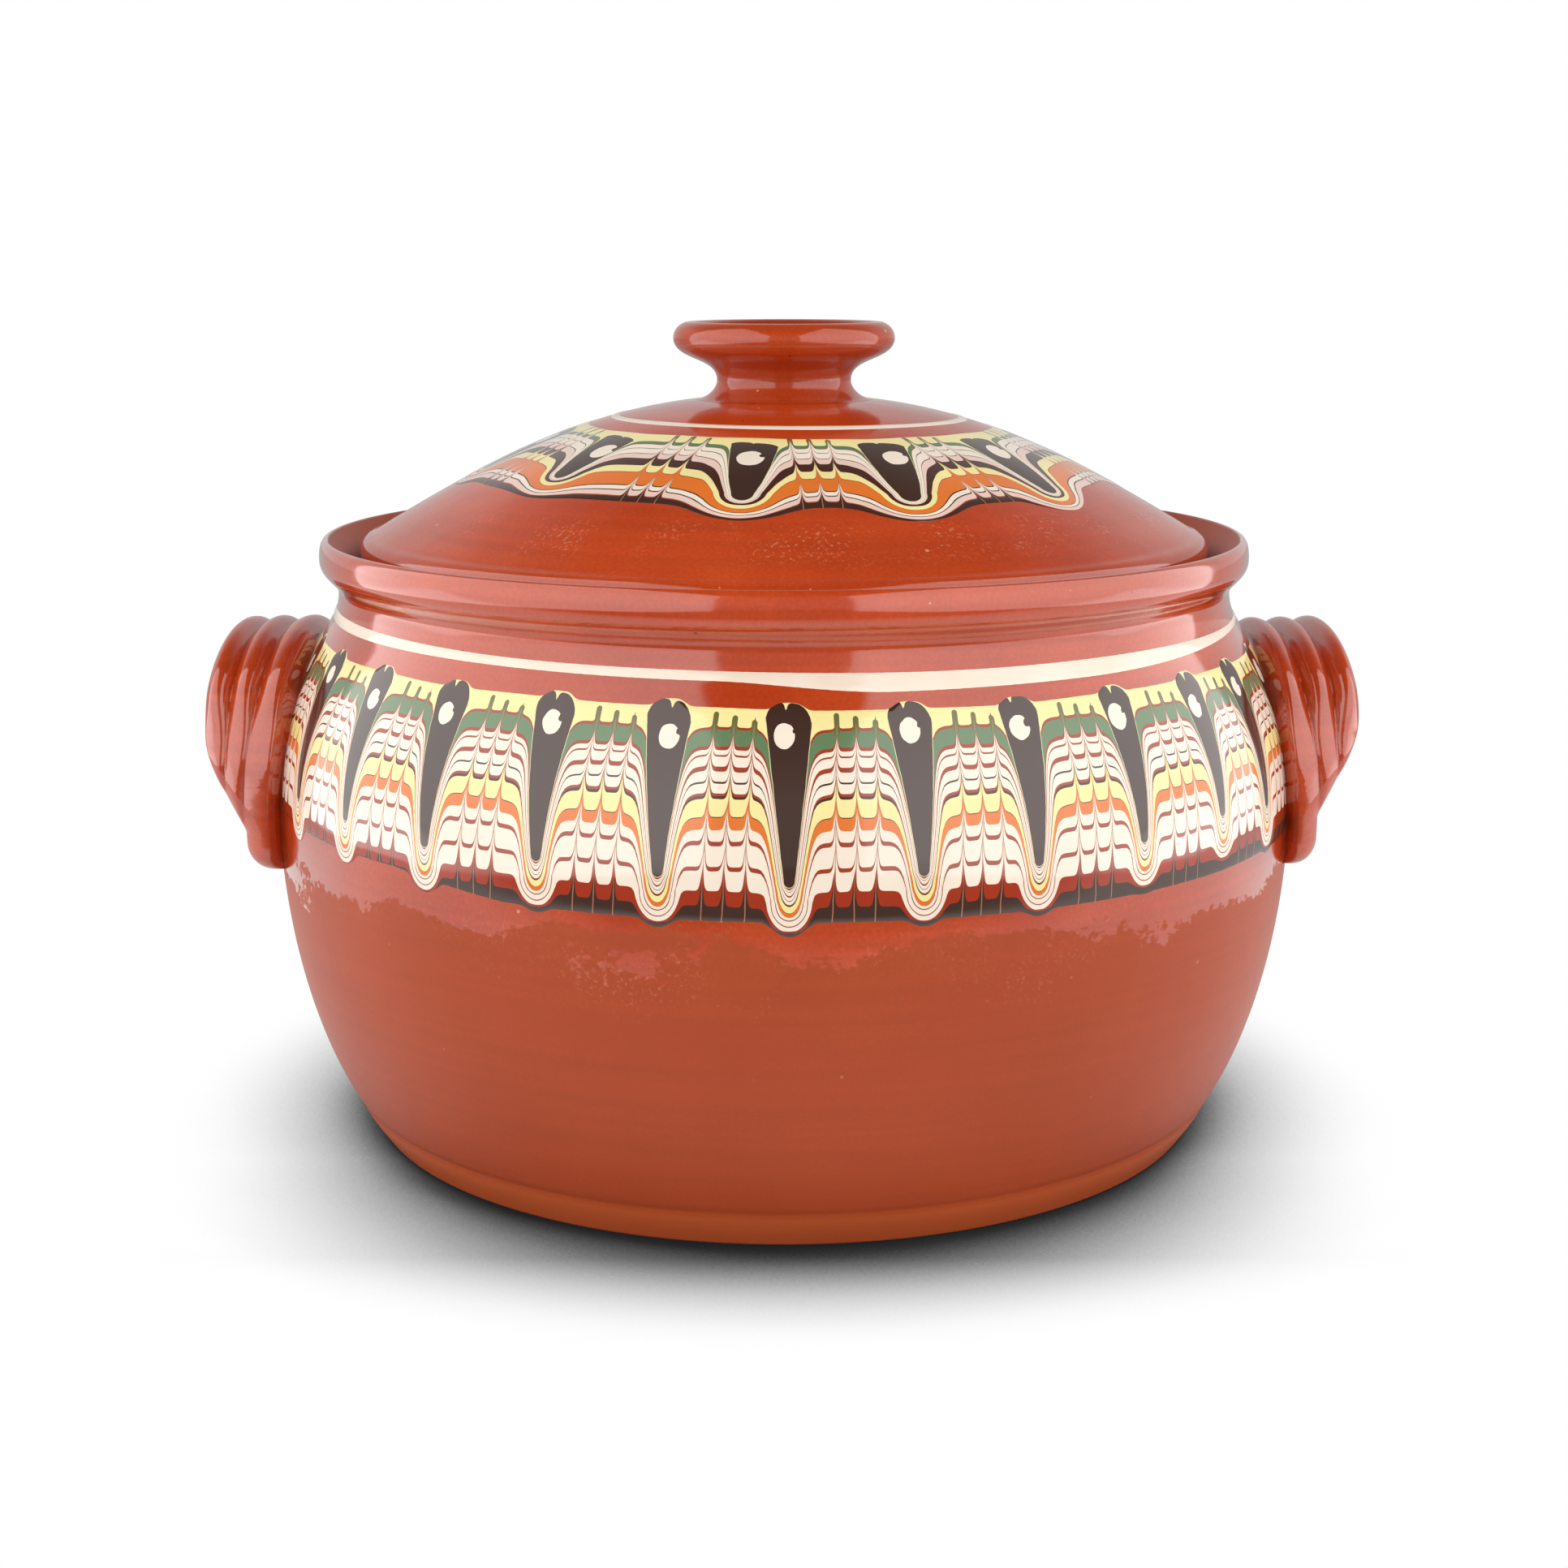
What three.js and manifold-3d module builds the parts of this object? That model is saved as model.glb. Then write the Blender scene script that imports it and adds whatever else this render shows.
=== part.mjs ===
// Terracotta stew pot: a thrown pot with a rolled rim, two ribbed strap handles, a domed lid with
// a turned knob, and bands of coloured slip laid flush in the pot and the lid.
// Millimetres, +Z up. The origin is the middle of the base and the handles lie along X.
import * as THREE from "three";
import { mergeVertices } from "three/addons/utils/BufferGeometryUtils.js";
import Module from "manifold-3d";

const wasm = await Module();
wasm.setup();

// Pot: drops are measured down from the top of the rim, insets in from the belly
const POT_HEIGHT = 166.5;
const BELLY_RADIUS = 144;
const BELLY_HEIGHT = 90;
const BASE_INSET = 26.5;
const FOOT_INSET = 19;
const FOOT_HEIGHT = 9.5;
const SHOULDER_INSET = 16.7;
const SHOULDER_DROP = 22.2;
const NECK_INSET = 18.8;
const NECK_DROP = 14;
const RIM_INSET = 13.8;
const RIM_DROP = 5.5;
const WALL = 8;
const FLOOR = 9;

// Gallery in the rim, where the lid sits
const RIM_THICKNESS = 9.7;
const RIM_CREST = 2 / 3; // share of the rim's thickness from the seat out to its crest
const LEDGE_DROP = 8.5;
const LEDGE_WIDTH = 10;
const LEDGE_THICKNESS = 4;

// Handles, pulled by hand, so the two differ: drop is from the start of the shoulder down to the strap
const LEFT_HANDLE = { drop: 3.4, height: 62.7, thumbWidth: 9.5, thumbHeight: 11 };
const RIGHT_HANDLE = { drop: 4.2, height: 60.3, thumbWidth: 8.6, thumbHeight: 13 };
const HANDLE_WIDTH = 98; // across both legs
const HANDLE_STAND_OFF = 12.8; // beyond the belly
const LEG_HEIGHT = 26; // straight part of a leg
const STRAP_THICKNESS = 10;
const STRAP_RIBS = 3;
const GROOVE_DEPTH = 1.4;
const STRAP_EDGE = 2.5; // rounding of the strap's outer edge
const EDGE_FLAT = 1 / 3; // share of the strap's thickness left flat at that edge
const THUMB_ROUND = 6; // rounding of the pressed end of a leg
const THUMB_TIP = 0.3; // where that rounding is cut off
const TIP_WIDTH = 0.4; // share of the thumb's width left at its tip
const FLARE_HEIGHT = 28; // from the thumb up to the strap's full width

// Lid and knob
const LID_CLEARANCE = 1.6; // between the lid's edge and the rim
const LID_EDGE_HEIGHT = 7.5;
const LID_EDGE_ROUND = 2.2;
const LID_RISE = 45; // underside of the edge to the crown
const LID_FLANGE = 9; // flat underside of the edge
const LID_WALL = 6.5;
const CROWN_RADIUS = 24.5;
const KNOB_HEIGHT = 21.4;
const KNOB_RADIUS = 31;
const KNOB_BRIM_HEIGHT = 17; // widest part, above the crown
const KNOB_NECK_RADIUS = 18.8;
const KNOB_NECK_HEIGHT = 5.4;
const KNOB_CREST_WIDTH = 4.5; // from the widest part in to the crest
const KNOB_CUP_DEPTH = 11;

// Coloured slip, flush with the clay around it
const SLIP_DEPTH = 0.6;
const POT_RING_WIDTH = 4.2;
const POT_RING_DROP = 19; // top edge
const POT_BAND_GAP = 3.3; // from the ring down to the band
const POT_BAND_HEIGHT = 53;
const LID_BAND_MARGIN = 23.4; // from the edge of the lid in to the band
const LID_BAND_WIDTH = 39.4;
const LID_RING_GAP = 5.6; // from the band in to the ring
const LID_RING_WIDTH = 3.2;

// Left between pieces that are luted, laid or seated on each other
const JOINT_GAP = 0.3;

// Fineness of the faceted surfaces
const QUARTER_SEGMENTS = 15;
const KNOB_SEGMENTS = 36;
const CURVE_STEPS = 5;
const ROLL_STEPS = 3;
const LEG_STEPS = 6;
const LEG_CROWDING = 1.6; // draws the steps of a leg together at its thumb
const ARCH_STEPS = 8;
const RIB_STEPS = 4;
const LINE_SAMPLES = 120;

// Colours and finish
const CLAY = { color: 0xb0441f, roughness: 0.3 };
const GLAZED_CLAY = { color: 0xb8431d, roughness: 0.15 };
const CREAM_SLIP = { color: 0xfff0e0, roughness: 0.15 };
const BAND_SLIP = { color: 0xf2d2a0, roughness: 0.15 };

// Places worked out from the sizes above
const SEGMENTS = 4 * QUARTER_SEGMENTS;
const SHOULDER_Z = POT_HEIGHT - SHOULDER_DROP;
const NECK_Z = POT_HEIGHT - NECK_DROP;
const RIM_RADIUS = BELLY_RADIUS - RIM_INSET;
const LEDGE_Z = POT_HEIGHT - LEDGE_DROP;
const SEAT_RADIUS = RIM_RADIUS - RIM_THICKNESS;
const LID_Z = LEDGE_Z + JOINT_GAP;
const LID_RADIUS = SEAT_RADIUS - LID_CLEARANCE;
const CROWN_Z = LID_Z + LID_RISE;
const RECESS = SLIP_DEPTH + JOINT_GAP;
const POT_RING_TOP = POT_HEIGHT - POT_RING_DROP;
const POT_RING_BOTTOM = POT_RING_TOP - POT_RING_WIDTH;
const POT_BAND_TOP = POT_RING_BOTTOM - POT_BAND_GAP;
const POT_BAND_BOTTOM = POT_BAND_TOP - POT_BAND_HEIGHT;
const LID_BAND_OUTER = LID_RADIUS - LID_BAND_MARGIN;
const LID_BAND_INNER = LID_BAND_OUTER - LID_BAND_WIDTH;
const LID_RING_OUTER = LID_BAND_INNER - LID_RING_GAP;
const LID_RING_INNER = LID_RING_OUTER - LID_RING_WIDTH;

const point = (x, y) => new THREE.Vector2(x, y);
const mix = THREE.MathUtils.lerp;
const spread = (count, at) => Array.from({ length: count + 1 }, (_, i) => at(i / count));

// Cubic curve between two profile points; the shares say how far along each axis its handles lie.
function bend(from, to, firstShare, secondShare) {
  const handle = ([across, up]) => point(mix(from.x, to.x, across), mix(from.y, to.y, up));
  return new THREE.CubicBezierCurve(from, handle(firstShare), handle(secondShare), to);
}

// Place on a finely sampled line where the x or y that grows along it reaches a value.
function crossing(line, axis, value) {
  const after = line.findIndex((at) => at[axis] >= value);
  if (after < 1) return line.at(after).clone();
  const [before, beyond] = [line[after - 1], line[after]];
  return before.clone().lerp(beyond, (value - before[axis]) / (beyond[axis] - before[axis]));
}

// Outer wall of the pot: foot to belly, belly to shoulder, shoulder to neck
const FOOT_POINT = point(BELLY_RADIUS - FOOT_INSET, FOOT_HEIGHT);
const BELLY_POINT = point(BELLY_RADIUS, BELLY_HEIGHT);
const SHOULDER_POINT = point(BELLY_RADIUS - SHOULDER_INSET, SHOULDER_Z);
const NECK_POINT = point(BELLY_RADIUS - NECK_INSET, NECK_Z);
const WALL_LINE = [
  bend(FOOT_POINT, BELLY_POINT, [0.53, 0.19], [1, 0.57]),
  bend(BELLY_POINT, SHOULDER_POINT, [0, 0.4], [0.24, 0.62]),
  bend(SHOULDER_POINT, NECK_POINT, [0.6, 0.25], [1, 0.6]),
].flatMap((curve) => curve.getPoints(LINE_SAMPLES));

// Point of the outer wall at a height, set in from it.
function wallPoint(height, inset = 0) {
  return crossing(WALL_LINE, "y", height).setY(height).sub(point(inset, 0));
}

function wallRun(fromHeight, toHeight, steps, inset = 0) {
  return spread(steps, (share) => wallPoint(mix(fromHeight, toHeight, share), inset));
}

// Top of the lid from the crown out to its edge
const DOME_EDGE = point(LID_RADIUS - LID_EDGE_ROUND / 2, LID_Z + LID_EDGE_HEIGHT);
const DOME = bend(point(CROWN_RADIUS, CROWN_Z), DOME_EDGE, [0.4, 0.11], [0.69, 0.55]);
const DOME_LINE = DOME.getPoints(LINE_SAMPLES);

// Point of the dome at a radius, set in square to its surface.
function domePoint(radius, inset = 0) {
  const along = crossing(DOME_LINE, "x", radius + 1).sub(crossing(DOME_LINE, "x", radius - 1)).normalize();
  return crossing(DOME_LINE, "x", radius).add(point(along.y, -along.x).multiplyScalar(inset));
}

function domeRun(fromRadius, toRadius, steps, inset = 0) {
  return spread(steps, (share) => domePoint(mix(fromRadius, toRadius, share), inset));
}

// Turns a profile of radius and height about +Z.
function turned(profile, segments = SEGMENTS) {
  return new THREE.LatheGeometry(profile, segments).rotateX(Math.PI / 2);
}

// Loop round a thin layer, up its outer side and back along its inner side.
function layer(outer, inner) {
  return [...outer, ...inner.toReversed()];
}

// Joins equal cross-sections into one closed body; place puts a section's point in space.
function swept(sections, place) {
  const size = sections[0].length;
  const vertices = sections.flatMap((section, i) => section.flatMap((at) => place(i, at).toArray()));
  const faces = [];
  for (let i = 0; i + 1 < sections.length; i++) {
    for (let j = 0; j < size; j++) {
      const here = i * size + j;
      const next = i * size + ((j + 1) % size);
      faces.push(here, next + size, next, here, here + size, next + size);
    }
  }
  const last = (sections.length - 1) * size;
  const startCap = THREE.ShapeUtils.triangulateShape(sections[0], []);
  const endCap = THREE.ShapeUtils.triangulateShape(sections.at(-1), []);
  startCap.forEach(([a, b, c]) => faces.push(a, b, c));
  endCap.forEach(([a, b, c]) => faces.push(last + c, last + b, last + a));
  const geometry = new THREE.BufferGeometry();
  geometry.setAttribute("position", new THREE.Float32BufferAttribute(vertices, 3));
  geometry.setIndex(faces);
  return geometry;
}

function solidFrom(geometry) {
  const bare = geometry.clone();
  bare.deleteAttribute("normal");
  bare.deleteAttribute("uv");
  const merged = mergeVertices(bare, 1e-4);
  const vertProperties = merged.attributes.position.array;
  const triVerts = new Uint32Array(merged.index.array);
  return new wasm.Manifold(new wasm.Mesh({ numProp: 3, vertProperties, triVerts }));
}

function geometryFrom(solid) {
  const { vertProperties, triVerts } = solid.getMesh();
  const geometry = new THREE.BufferGeometry();
  geometry.setAttribute("position", new THREE.Float32BufferAttribute(vertProperties, 3));
  geometry.setIndex([...triVerts]);
  return geometry;
}

// Pot body: base, foot, wall with recesses for the slip, rolled rim, gallery, inside wall and floor
function potBody() {
  const base = point(BELLY_RADIUS - BASE_INSET, 0);
  const widest = point(RIM_RADIUS, POT_HEIGHT - RIM_DROP);
  const crest = point(mix(SEAT_RADIUS, RIM_RADIUS, RIM_CREST), POT_HEIGHT);
  const seat = point(SEAT_RADIUS, LEDGE_Z);
  const ledgeEnd = point(SEAT_RADIUS - LEDGE_WIDTH, LEDGE_Z);
  const underLedge = point(ledgeEnd.x, LEDGE_Z - LEDGE_THICKNESS);
  const insideTop = wallPoint(SHOULDER_Z - WALL, WALL);
  const insideLow = wallPoint(FLOOR + WALL, WALL);
  const floorEdge = point(insideLow.x - 2 * WALL, FLOOR);
  return turned([
    point(0, 0),
    ...bend(base, FOOT_POINT, [0.35, 0.2], [0.8, 0.55]).getPoints(ROLL_STEPS),
    ...wallRun(FOOT_HEIGHT, POT_BAND_BOTTOM, CURVE_STEPS).slice(1),
    ...wallRun(POT_BAND_BOTTOM, POT_BAND_TOP, CURVE_STEPS, RECESS),
    ...wallRun(POT_BAND_TOP, POT_RING_BOTTOM, 1),
    ...wallRun(POT_RING_BOTTOM, POT_RING_TOP, 1, RECESS),
    ...wallRun(POT_RING_TOP, NECK_Z, 1),
    ...bend(NECK_POINT, widest, [0.2, 0.4], [1, 0.5]).getPoints(ROLL_STEPS).slice(1),
    ...bend(widest, crest, [0, 0.6], [0.3, 1]).getPoints(ROLL_STEPS).slice(1),
    ...bend(crest, seat, [0.35, 0], [0.7, 0.35]).getPoints(ROLL_STEPS).slice(1),
    ledgeEnd,
    ...bend(underLedge, insideTop, [0, 0.35], [0.5, 0.7]).getPoints(ROLL_STEPS),
    ...wallRun(insideTop.y, insideLow.y, CURVE_STEPS, WALL).slice(1),
    ...bend(insideLow, floorEdge, [0.2, 0.7], [0.5, 1]).getPoints(ROLL_STEPS).slice(1),
    point(0, FLOOR),
  ]);
}

// Cream line round the shoulder
function potSlipRing() {
  const [low, high] = [POT_RING_BOTTOM + JOINT_GAP, POT_RING_TOP - JOINT_GAP];
  const loop = layer(wallRun(low, high, 1), wallRun(low, high, 1, SLIP_DEPTH));
  return turned([...loop, loop[0]]);
}

// Half of the patterned band, from handle to handle, about the -Y side of the pot
function potSlipBandHalf() {
  const [low, high] = [POT_BAND_BOTTOM + JOINT_GAP, POT_BAND_TOP - JOINT_GAP];
  const section = layer(wallRun(low, high, CURVE_STEPS), wallRun(low, high, CURVE_STEPS, SLIP_DEPTH));
  const end = Math.PI / 2 - JOINT_GAP / 2 / BELLY_RADIUS;
  const angles = spread(2 * QUARTER_SEGMENTS, (share) => {
    return THREE.MathUtils.clamp(Math.PI * (share - 0.5), -end, end);
  });
  const place = (i, at) => {
    return new THREE.Vector3(at.x * Math.sin(angles[i]), -at.x * Math.cos(angles[i]), at.y);
  };
  return swept(angles.map(() => section), place);
}

// Handle on the +X side: an upright arch of strap, set edgewise on the wall along its whole length
function strapHandle(shape) {
  const topZ = SHOULDER_Z - shape.drop;
  const foot = point((STRAP_THICKNESS - HANDLE_WIDTH) / 2, topZ - shape.height);
  const spring = point(foot.x, foot.y + LEG_HEIGHT);
  const arch = bend(spring, point(0, topZ - STRAP_THICKNESS / 2), [0, 0.72], [0.41, 1]);
  const leg = spread(LEG_STEPS, (share) => mix(THUMB_TIP, LEG_HEIGHT, share ** LEG_CROWDING)).slice(0, -1);
  const legStations = leg.map((along) => {
    const fullness = Math.sqrt(1 - (1 - Math.min(along / THUMB_ROUND, 1)) ** 2);
    return { at: point(foot.x, foot.y + along), out: point(-1, 0), fullness };
  });
  const archStations = spread(ARCH_STEPS, (share) => {
    const along = arch.getTangentAt(share);
    return { at: arch.getPointAt(share), out: point(-along.y, along.x), fullness: 1 };
  });
  const front = [...legStations, ...archStations];
  const back = front.slice(0, -1).toReversed().map(({ at, out, fullness }) => {
    return { at: point(-at.x, at.y), out: point(-out.x, out.y), fullness };
  });
  const stations = [...front, ...back];
  const thumb = { width: shape.thumbWidth, top: foot.y + shape.thumbHeight };
  const sections = stations.map(({ at, fullness }) => strapSection(at, fullness, thumb));
  const place = (i, spot) => {
    const { at, out } = stations[i];
    return new THREE.Vector3(spot.x, at.x + out.x * spot.y, at.y + out.y * spot.y);
  };
  const strap = solidFrom(swept(sections, place));
  const low = foot.y - STRAP_THICKNESS;
  const wall = wallRun(low, SHOULDER_Z, 2 * CURVE_STEPS, -JOINT_GAP);
  const clear = solidFrom(turned([point(0, low), ...wall, point(0, SHOULDER_Z)]));
  return geometryFrom(strap.subtract(clear));
}

// Section of the strap at one place of its arch: ribs outside, flat inside, drawn in to a thumb at the feet
function strapSection(at, fullness, thumb) {
  const wallX = Math.sqrt(wallPoint(at.y).x ** 2 - at.x ** 2);
  const flare = THREE.MathUtils.smoothstep(at.y, thumb.top, thumb.top + FLARE_HEIGHT);
  const thumbX = wallX + thumb.width * mix(TIP_WIDTH, 1, fullness);
  const outerX = mix(thumbX, BELLY_RADIUS + HANDLE_STAND_OFF, flare);
  const rootX = wallX - WALL;
  const faceX = outerX - STRAP_EDGE;
  const deep = (STRAP_THICKNESS / 2) * fullness;
  const face = spread(RIB_STEPS * STRAP_RIBS, (share) => {
    const groove = 1 - Math.abs(Math.sin(Math.PI * STRAP_RIBS * share));
    return point(mix(wallX, faceX, share), deep - GROOVE_DEPTH * groove * flare);
  });
  const flat = deep * EDGE_FLAT;
  const edge = [point(faceX, -deep), point(outerX, -flat), point(outerX, flat)];
  return [point(rootX, -deep), ...edge, ...face.toReversed(), point(rootX, deep)];
}

// Lid: flat-edged dome with recesses for the slip, hollow underneath
function lidDome() {
  const flangeEnd = LID_RADIUS - LID_FLANGE;
  const flange = point(flangeEnd, LID_Z);
  return turned([
    flange,
    point(LID_RADIUS - LID_EDGE_ROUND, LID_Z),
    point(LID_RADIUS, LID_Z + LID_EDGE_ROUND),
    point(LID_RADIUS, LID_Z + LID_EDGE_HEIGHT - LID_EDGE_ROUND),
    ...domeRun(DOME_EDGE.x, LID_BAND_OUTER, 2),
    ...domeRun(LID_BAND_OUTER, LID_BAND_INNER, CURVE_STEPS, RECESS),
    ...domeRun(LID_BAND_INNER, LID_RING_OUTER, 1),
    ...domeRun(LID_RING_OUTER, LID_RING_INNER, 1, RECESS),
    ...domeRun(LID_RING_INNER, CROWN_RADIUS, 1),
    point(0, CROWN_Z),
    point(0, CROWN_Z - LID_WALL),
    ...domeRun(CROWN_RADIUS, flangeEnd, 2 * CURVE_STEPS, LID_WALL),
    flange,
  ]);
}

// Layer of slip laid in the lid between two radii
function lidSlip(innerRadius, outerRadius, steps) {
  const [near, far] = [innerRadius + JOINT_GAP, outerRadius - JOINT_GAP];
  const loop = layer(domeRun(far, near, steps), domeRun(far, near, steps, SLIP_DEPTH));
  return turned([...loop, loop[0]]);
}

// Knob: spreading foot, waisted neck, rolled brim and a cup in the top
function lidKnob() {
  const bottom = CROWN_Z + JOINT_GAP;
  const foot = point(CROWN_RADIUS, bottom);
  const neck = point(KNOB_NECK_RADIUS, bottom + KNOB_NECK_HEIGHT);
  const brim = point(KNOB_RADIUS, bottom + KNOB_BRIM_HEIGHT);
  const crest = point(KNOB_RADIUS - KNOB_CREST_WIDTH, bottom + KNOB_HEIGHT);
  const cup = point(0, crest.y - KNOB_CUP_DEPTH);
  const profile = [
    point(0, bottom),
    ...bend(foot, neck, [0.6, 0.1], [1, 0.6]).getPoints(ROLL_STEPS),
    ...bend(neck, brim, [0, 0.55], [1, 0.45]).getPoints(CURVE_STEPS).slice(1),
    ...bend(brim, crest, [0, 0.55], [0.5, 1]).getPoints(ROLL_STEPS).slice(1),
    ...bend(crest, cup, [0.2, 0], [0.35, 1]).getPoints(CURVE_STEPS).slice(1),
  ];
  return turned(profile, KNOB_SEGMENTS);
}

const pot = new THREE.Group();

function add(name, geometry, finish) {
  const mesh = new THREE.Mesh(geometry, new THREE.MeshStandardMaterial({ ...finish, metalness: 0 }));
  mesh.name = name;
  pot.add(mesh);
  return mesh;
}

const halfTurn = Math.PI;
add("pot_body", potBody(), CLAY);
add("pot_slip_ring", potSlipRing(), CREAM_SLIP);
add("pot_slip_band_front", potSlipBandHalf(), BAND_SLIP);
add("pot_slip_band_back", potSlipBandHalf(), BAND_SLIP).rotation.z = halfTurn;
add("handle_right", strapHandle(RIGHT_HANDLE), GLAZED_CLAY);
add("handle_left", strapHandle(LEFT_HANDLE), GLAZED_CLAY).rotation.z = halfTurn;
add("lid_dome", lidDome(), GLAZED_CLAY);
add("lid_slip_ring", lidSlip(LID_RING_INNER, LID_RING_OUTER, 1), CREAM_SLIP);
add("lid_slip_band", lidSlip(LID_BAND_INNER, LID_BAND_OUTER, CURVE_STEPS), BAND_SLIP);
add("lid_knob", lidKnob(), GLAZED_CLAY);

export default pot;
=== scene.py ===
"""Looks of a lidded terracotta cooking pot with feathered slip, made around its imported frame.

Sizes of the pot are in millimetres, as a potter would measure them; camera and studio are in metres.
"""

import math

import bpy
import numpy as np
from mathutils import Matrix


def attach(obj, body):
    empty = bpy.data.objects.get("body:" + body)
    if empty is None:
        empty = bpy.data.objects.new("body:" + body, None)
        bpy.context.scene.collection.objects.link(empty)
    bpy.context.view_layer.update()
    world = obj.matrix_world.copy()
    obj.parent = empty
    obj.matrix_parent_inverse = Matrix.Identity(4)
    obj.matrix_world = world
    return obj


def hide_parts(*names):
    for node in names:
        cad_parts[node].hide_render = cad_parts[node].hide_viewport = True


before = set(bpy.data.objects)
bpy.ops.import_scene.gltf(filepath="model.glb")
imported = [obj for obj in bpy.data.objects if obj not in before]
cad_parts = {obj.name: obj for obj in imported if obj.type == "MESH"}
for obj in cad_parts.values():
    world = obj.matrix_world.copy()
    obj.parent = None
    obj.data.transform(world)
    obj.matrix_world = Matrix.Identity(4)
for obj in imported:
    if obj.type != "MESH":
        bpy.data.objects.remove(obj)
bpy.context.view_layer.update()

MM = 0.001
TURN = 2 * math.pi


# Colours and shader nodes

def linear(colour):
    """Linear RGBA of an sRGB hex colour: c / 12.92 for a dark channel, else ((c + 0.055) / 1.055) ^ 2.4."""
    srgb = np.array([int(colour[i:i + 2], 16) for i in (1, 3, 5)]) / 255
    channels = np.where(srgb < 0.04045, srgb / 12.92, ((srgb + 0.055) / 1.055) ** 2.4)
    return (*channels.tolist(), 1.0)


def per(size):
    """Pattern scale that gives a real size in millimetres."""
    return 1 / (size * MM)


def node(tree, kind, inputs=(), stops=None, **settings):
    """Adds a shader node with its settings, sets or links its inputs, in order or by key, and fills a ramp's
    stops. After a colon the kind may name an operation, or a mix's data type. A node given as an input stands
    for its first output in use."""
    kind, _, mode = kind.partition(":")
    made = tree.nodes.new("ShaderNode" + kind)
    if mode:
        setattr(made, "data_type" if kind == "Mix" else "operation", mode)
    for name, value in settings.items():
        setattr(made, name, value)
    keyed = inputs if isinstance(inputs, dict) else dict(enumerate(inputs))
    for key, value in keyed.items():
        if isinstance(value, bpy.types.Node):
            value = next(output for output in value.outputs if output.enabled)
        if isinstance(value, bpy.types.NodeSocket):
            tree.links.new(value, made.inputs[key])
        else:
            made.inputs[key].default_value = value
    if stops:
        ramp = made.color_ramp
        while len(ramp.elements) < len(stops):
            ramp.elements.new(1.0)
        for element, (place, colour) in zip(ramp.elements, stops):
            element.position = place
            element.color = colour
    return made


def waver(tree, place, size):
    """Noise of a real size in millimetres that wavers about zero."""
    noise = node(tree, "TexNoise", {"Vector": place, "Scale": per(size), "Detail": 2.0})
    return node(tree, "Math:SUBTRACT", [noise, 0.5])


def new_material(name):
    material = bpy.data.materials.new(name)
    material.use_nodes = True
    material.node_tree.nodes.clear()
    return material, material.node_tree


# Objects and meshes

def placed(name, data):
    """New object of some data, linked to the scene."""
    made = bpy.data.objects.new(name, data)
    bpy.context.scene.collection.objects.link(made)
    return made


def piece(name, points, faces, material, sharp=40):
    """Object of points in millimetres, joined by the listed faces, smooth but for edges over an angle."""
    mesh = bpy.data.meshes.new(name)
    mesh.from_pydata((points * MM).tolist(), [], faces, shade_flat=False)
    mesh.set_sharp_from_angle(angle=math.radians(sharp))
    mesh.materials.append(material)
    return placed(name, mesh)


def quads(index):
    """Faces between neighbours of an index grid whose rows run up the outside and columns run round."""
    corners = [index[:-1, :-1], index[:-1, 1:], index[1:, 1:], index[1:, :-1]]
    return np.stack(corners, -1).reshape(-1, 4)


# Camera, at the place found from the round edges of rim, ring, band and knob in the photograph

PHOTO_PIXELS = 1932
FOCAL_PIXELS = 2964.4
SENSOR_WIDTH = 36
CAMERA_PITCH = 12.3
CAMERA_BEFORE = 0.68415
CAMERA_HEIGHT = 0.24162
NEAREST_SEEN = 0.01

camera_data = bpy.data.cameras.new("camera")
camera_data.sensor_width = SENSOR_WIDTH
camera_data.lens = SENSOR_WIDTH * FOCAL_PIXELS / PHOTO_PIXELS
camera_data.clip_start = NEAREST_SEEN
camera = placed("camera", camera_data)
camera.location = (0, -CAMERA_BEFORE, CAMERA_HEIGHT)
camera.rotation_euler = (math.radians(90 - CAMERA_PITCH), 0, 0)
bpy.context.scene.camera = camera
bpy.context.scene.view_settings.view_transform = "Standard"


# Studio: a tall soft panel on either side, a pale room and a white floor

PANEL_FRONT = -1.78
PANEL_BACK = 0.2
PANEL_HEIGHT = 1.5
PANEL_LIFT = 0.02
PANEL_AWAY = 0.5
PANEL_GLOW = 1.55
ROOM_GLOW = 0.35
BACKDROP_GLOW = 0.62
CEILING_SHARE = 0.1
BACKDROP_SPAN = (0.1, 0.5)
CEILING_SPAN = (0.42, 0.8)
FLOOR_REACH = 6.0
FLOOR_COLOUR = "#D8D8D8"

# Shadow: how far it reaches, and its tone by the share of open sky
SHADOW_REACH = 0.08
SHADOW_TONES = (
    (0.3, 0.015), (0.4, 0.08), (0.5, 0.28), (0.55, 0.45),
    (0.61, 0.61), (0.68, 0.77), (0.74, 0.9), (0.83, 1.0),
)

# Ranges along Y: where each starts and ends, and the value at either end
SHADOW_DEEPENS = (-0.14, -0.06, -0.09, 0.06)
SHADOW_ENDS = (-0.175, -0.125, 0.04, -0.07)
MIRRORED_FRONT = (-0.42, -0.24, 0.15, 1.0)
MIRRORED_BACK = (0.1, 0.4, 1.0, 0.45)


def side_panel(name, side):
    """Soft panel that stands along Y at one side, from just over the floor up, and faces the pot."""
    lamp = bpy.data.lights.new(name, "AREA")
    lamp.shape = "RECTANGLE"
    lamp.size = PANEL_HEIGHT
    lamp.size_y = PANEL_BACK - PANEL_FRONT
    lamp.energy = PANEL_GLOW * math.pi * lamp.size_y * PANEL_HEIGHT
    panel = placed(name, lamp)
    panel.location = (side * PANEL_AWAY, (PANEL_FRONT + PANEL_BACK) / 2, PANEL_HEIGHT / 2 + PANEL_LIFT)
    panel.rotation_euler = (0, side * math.pi / 2, 0)
    panel.visible_camera = False


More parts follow.
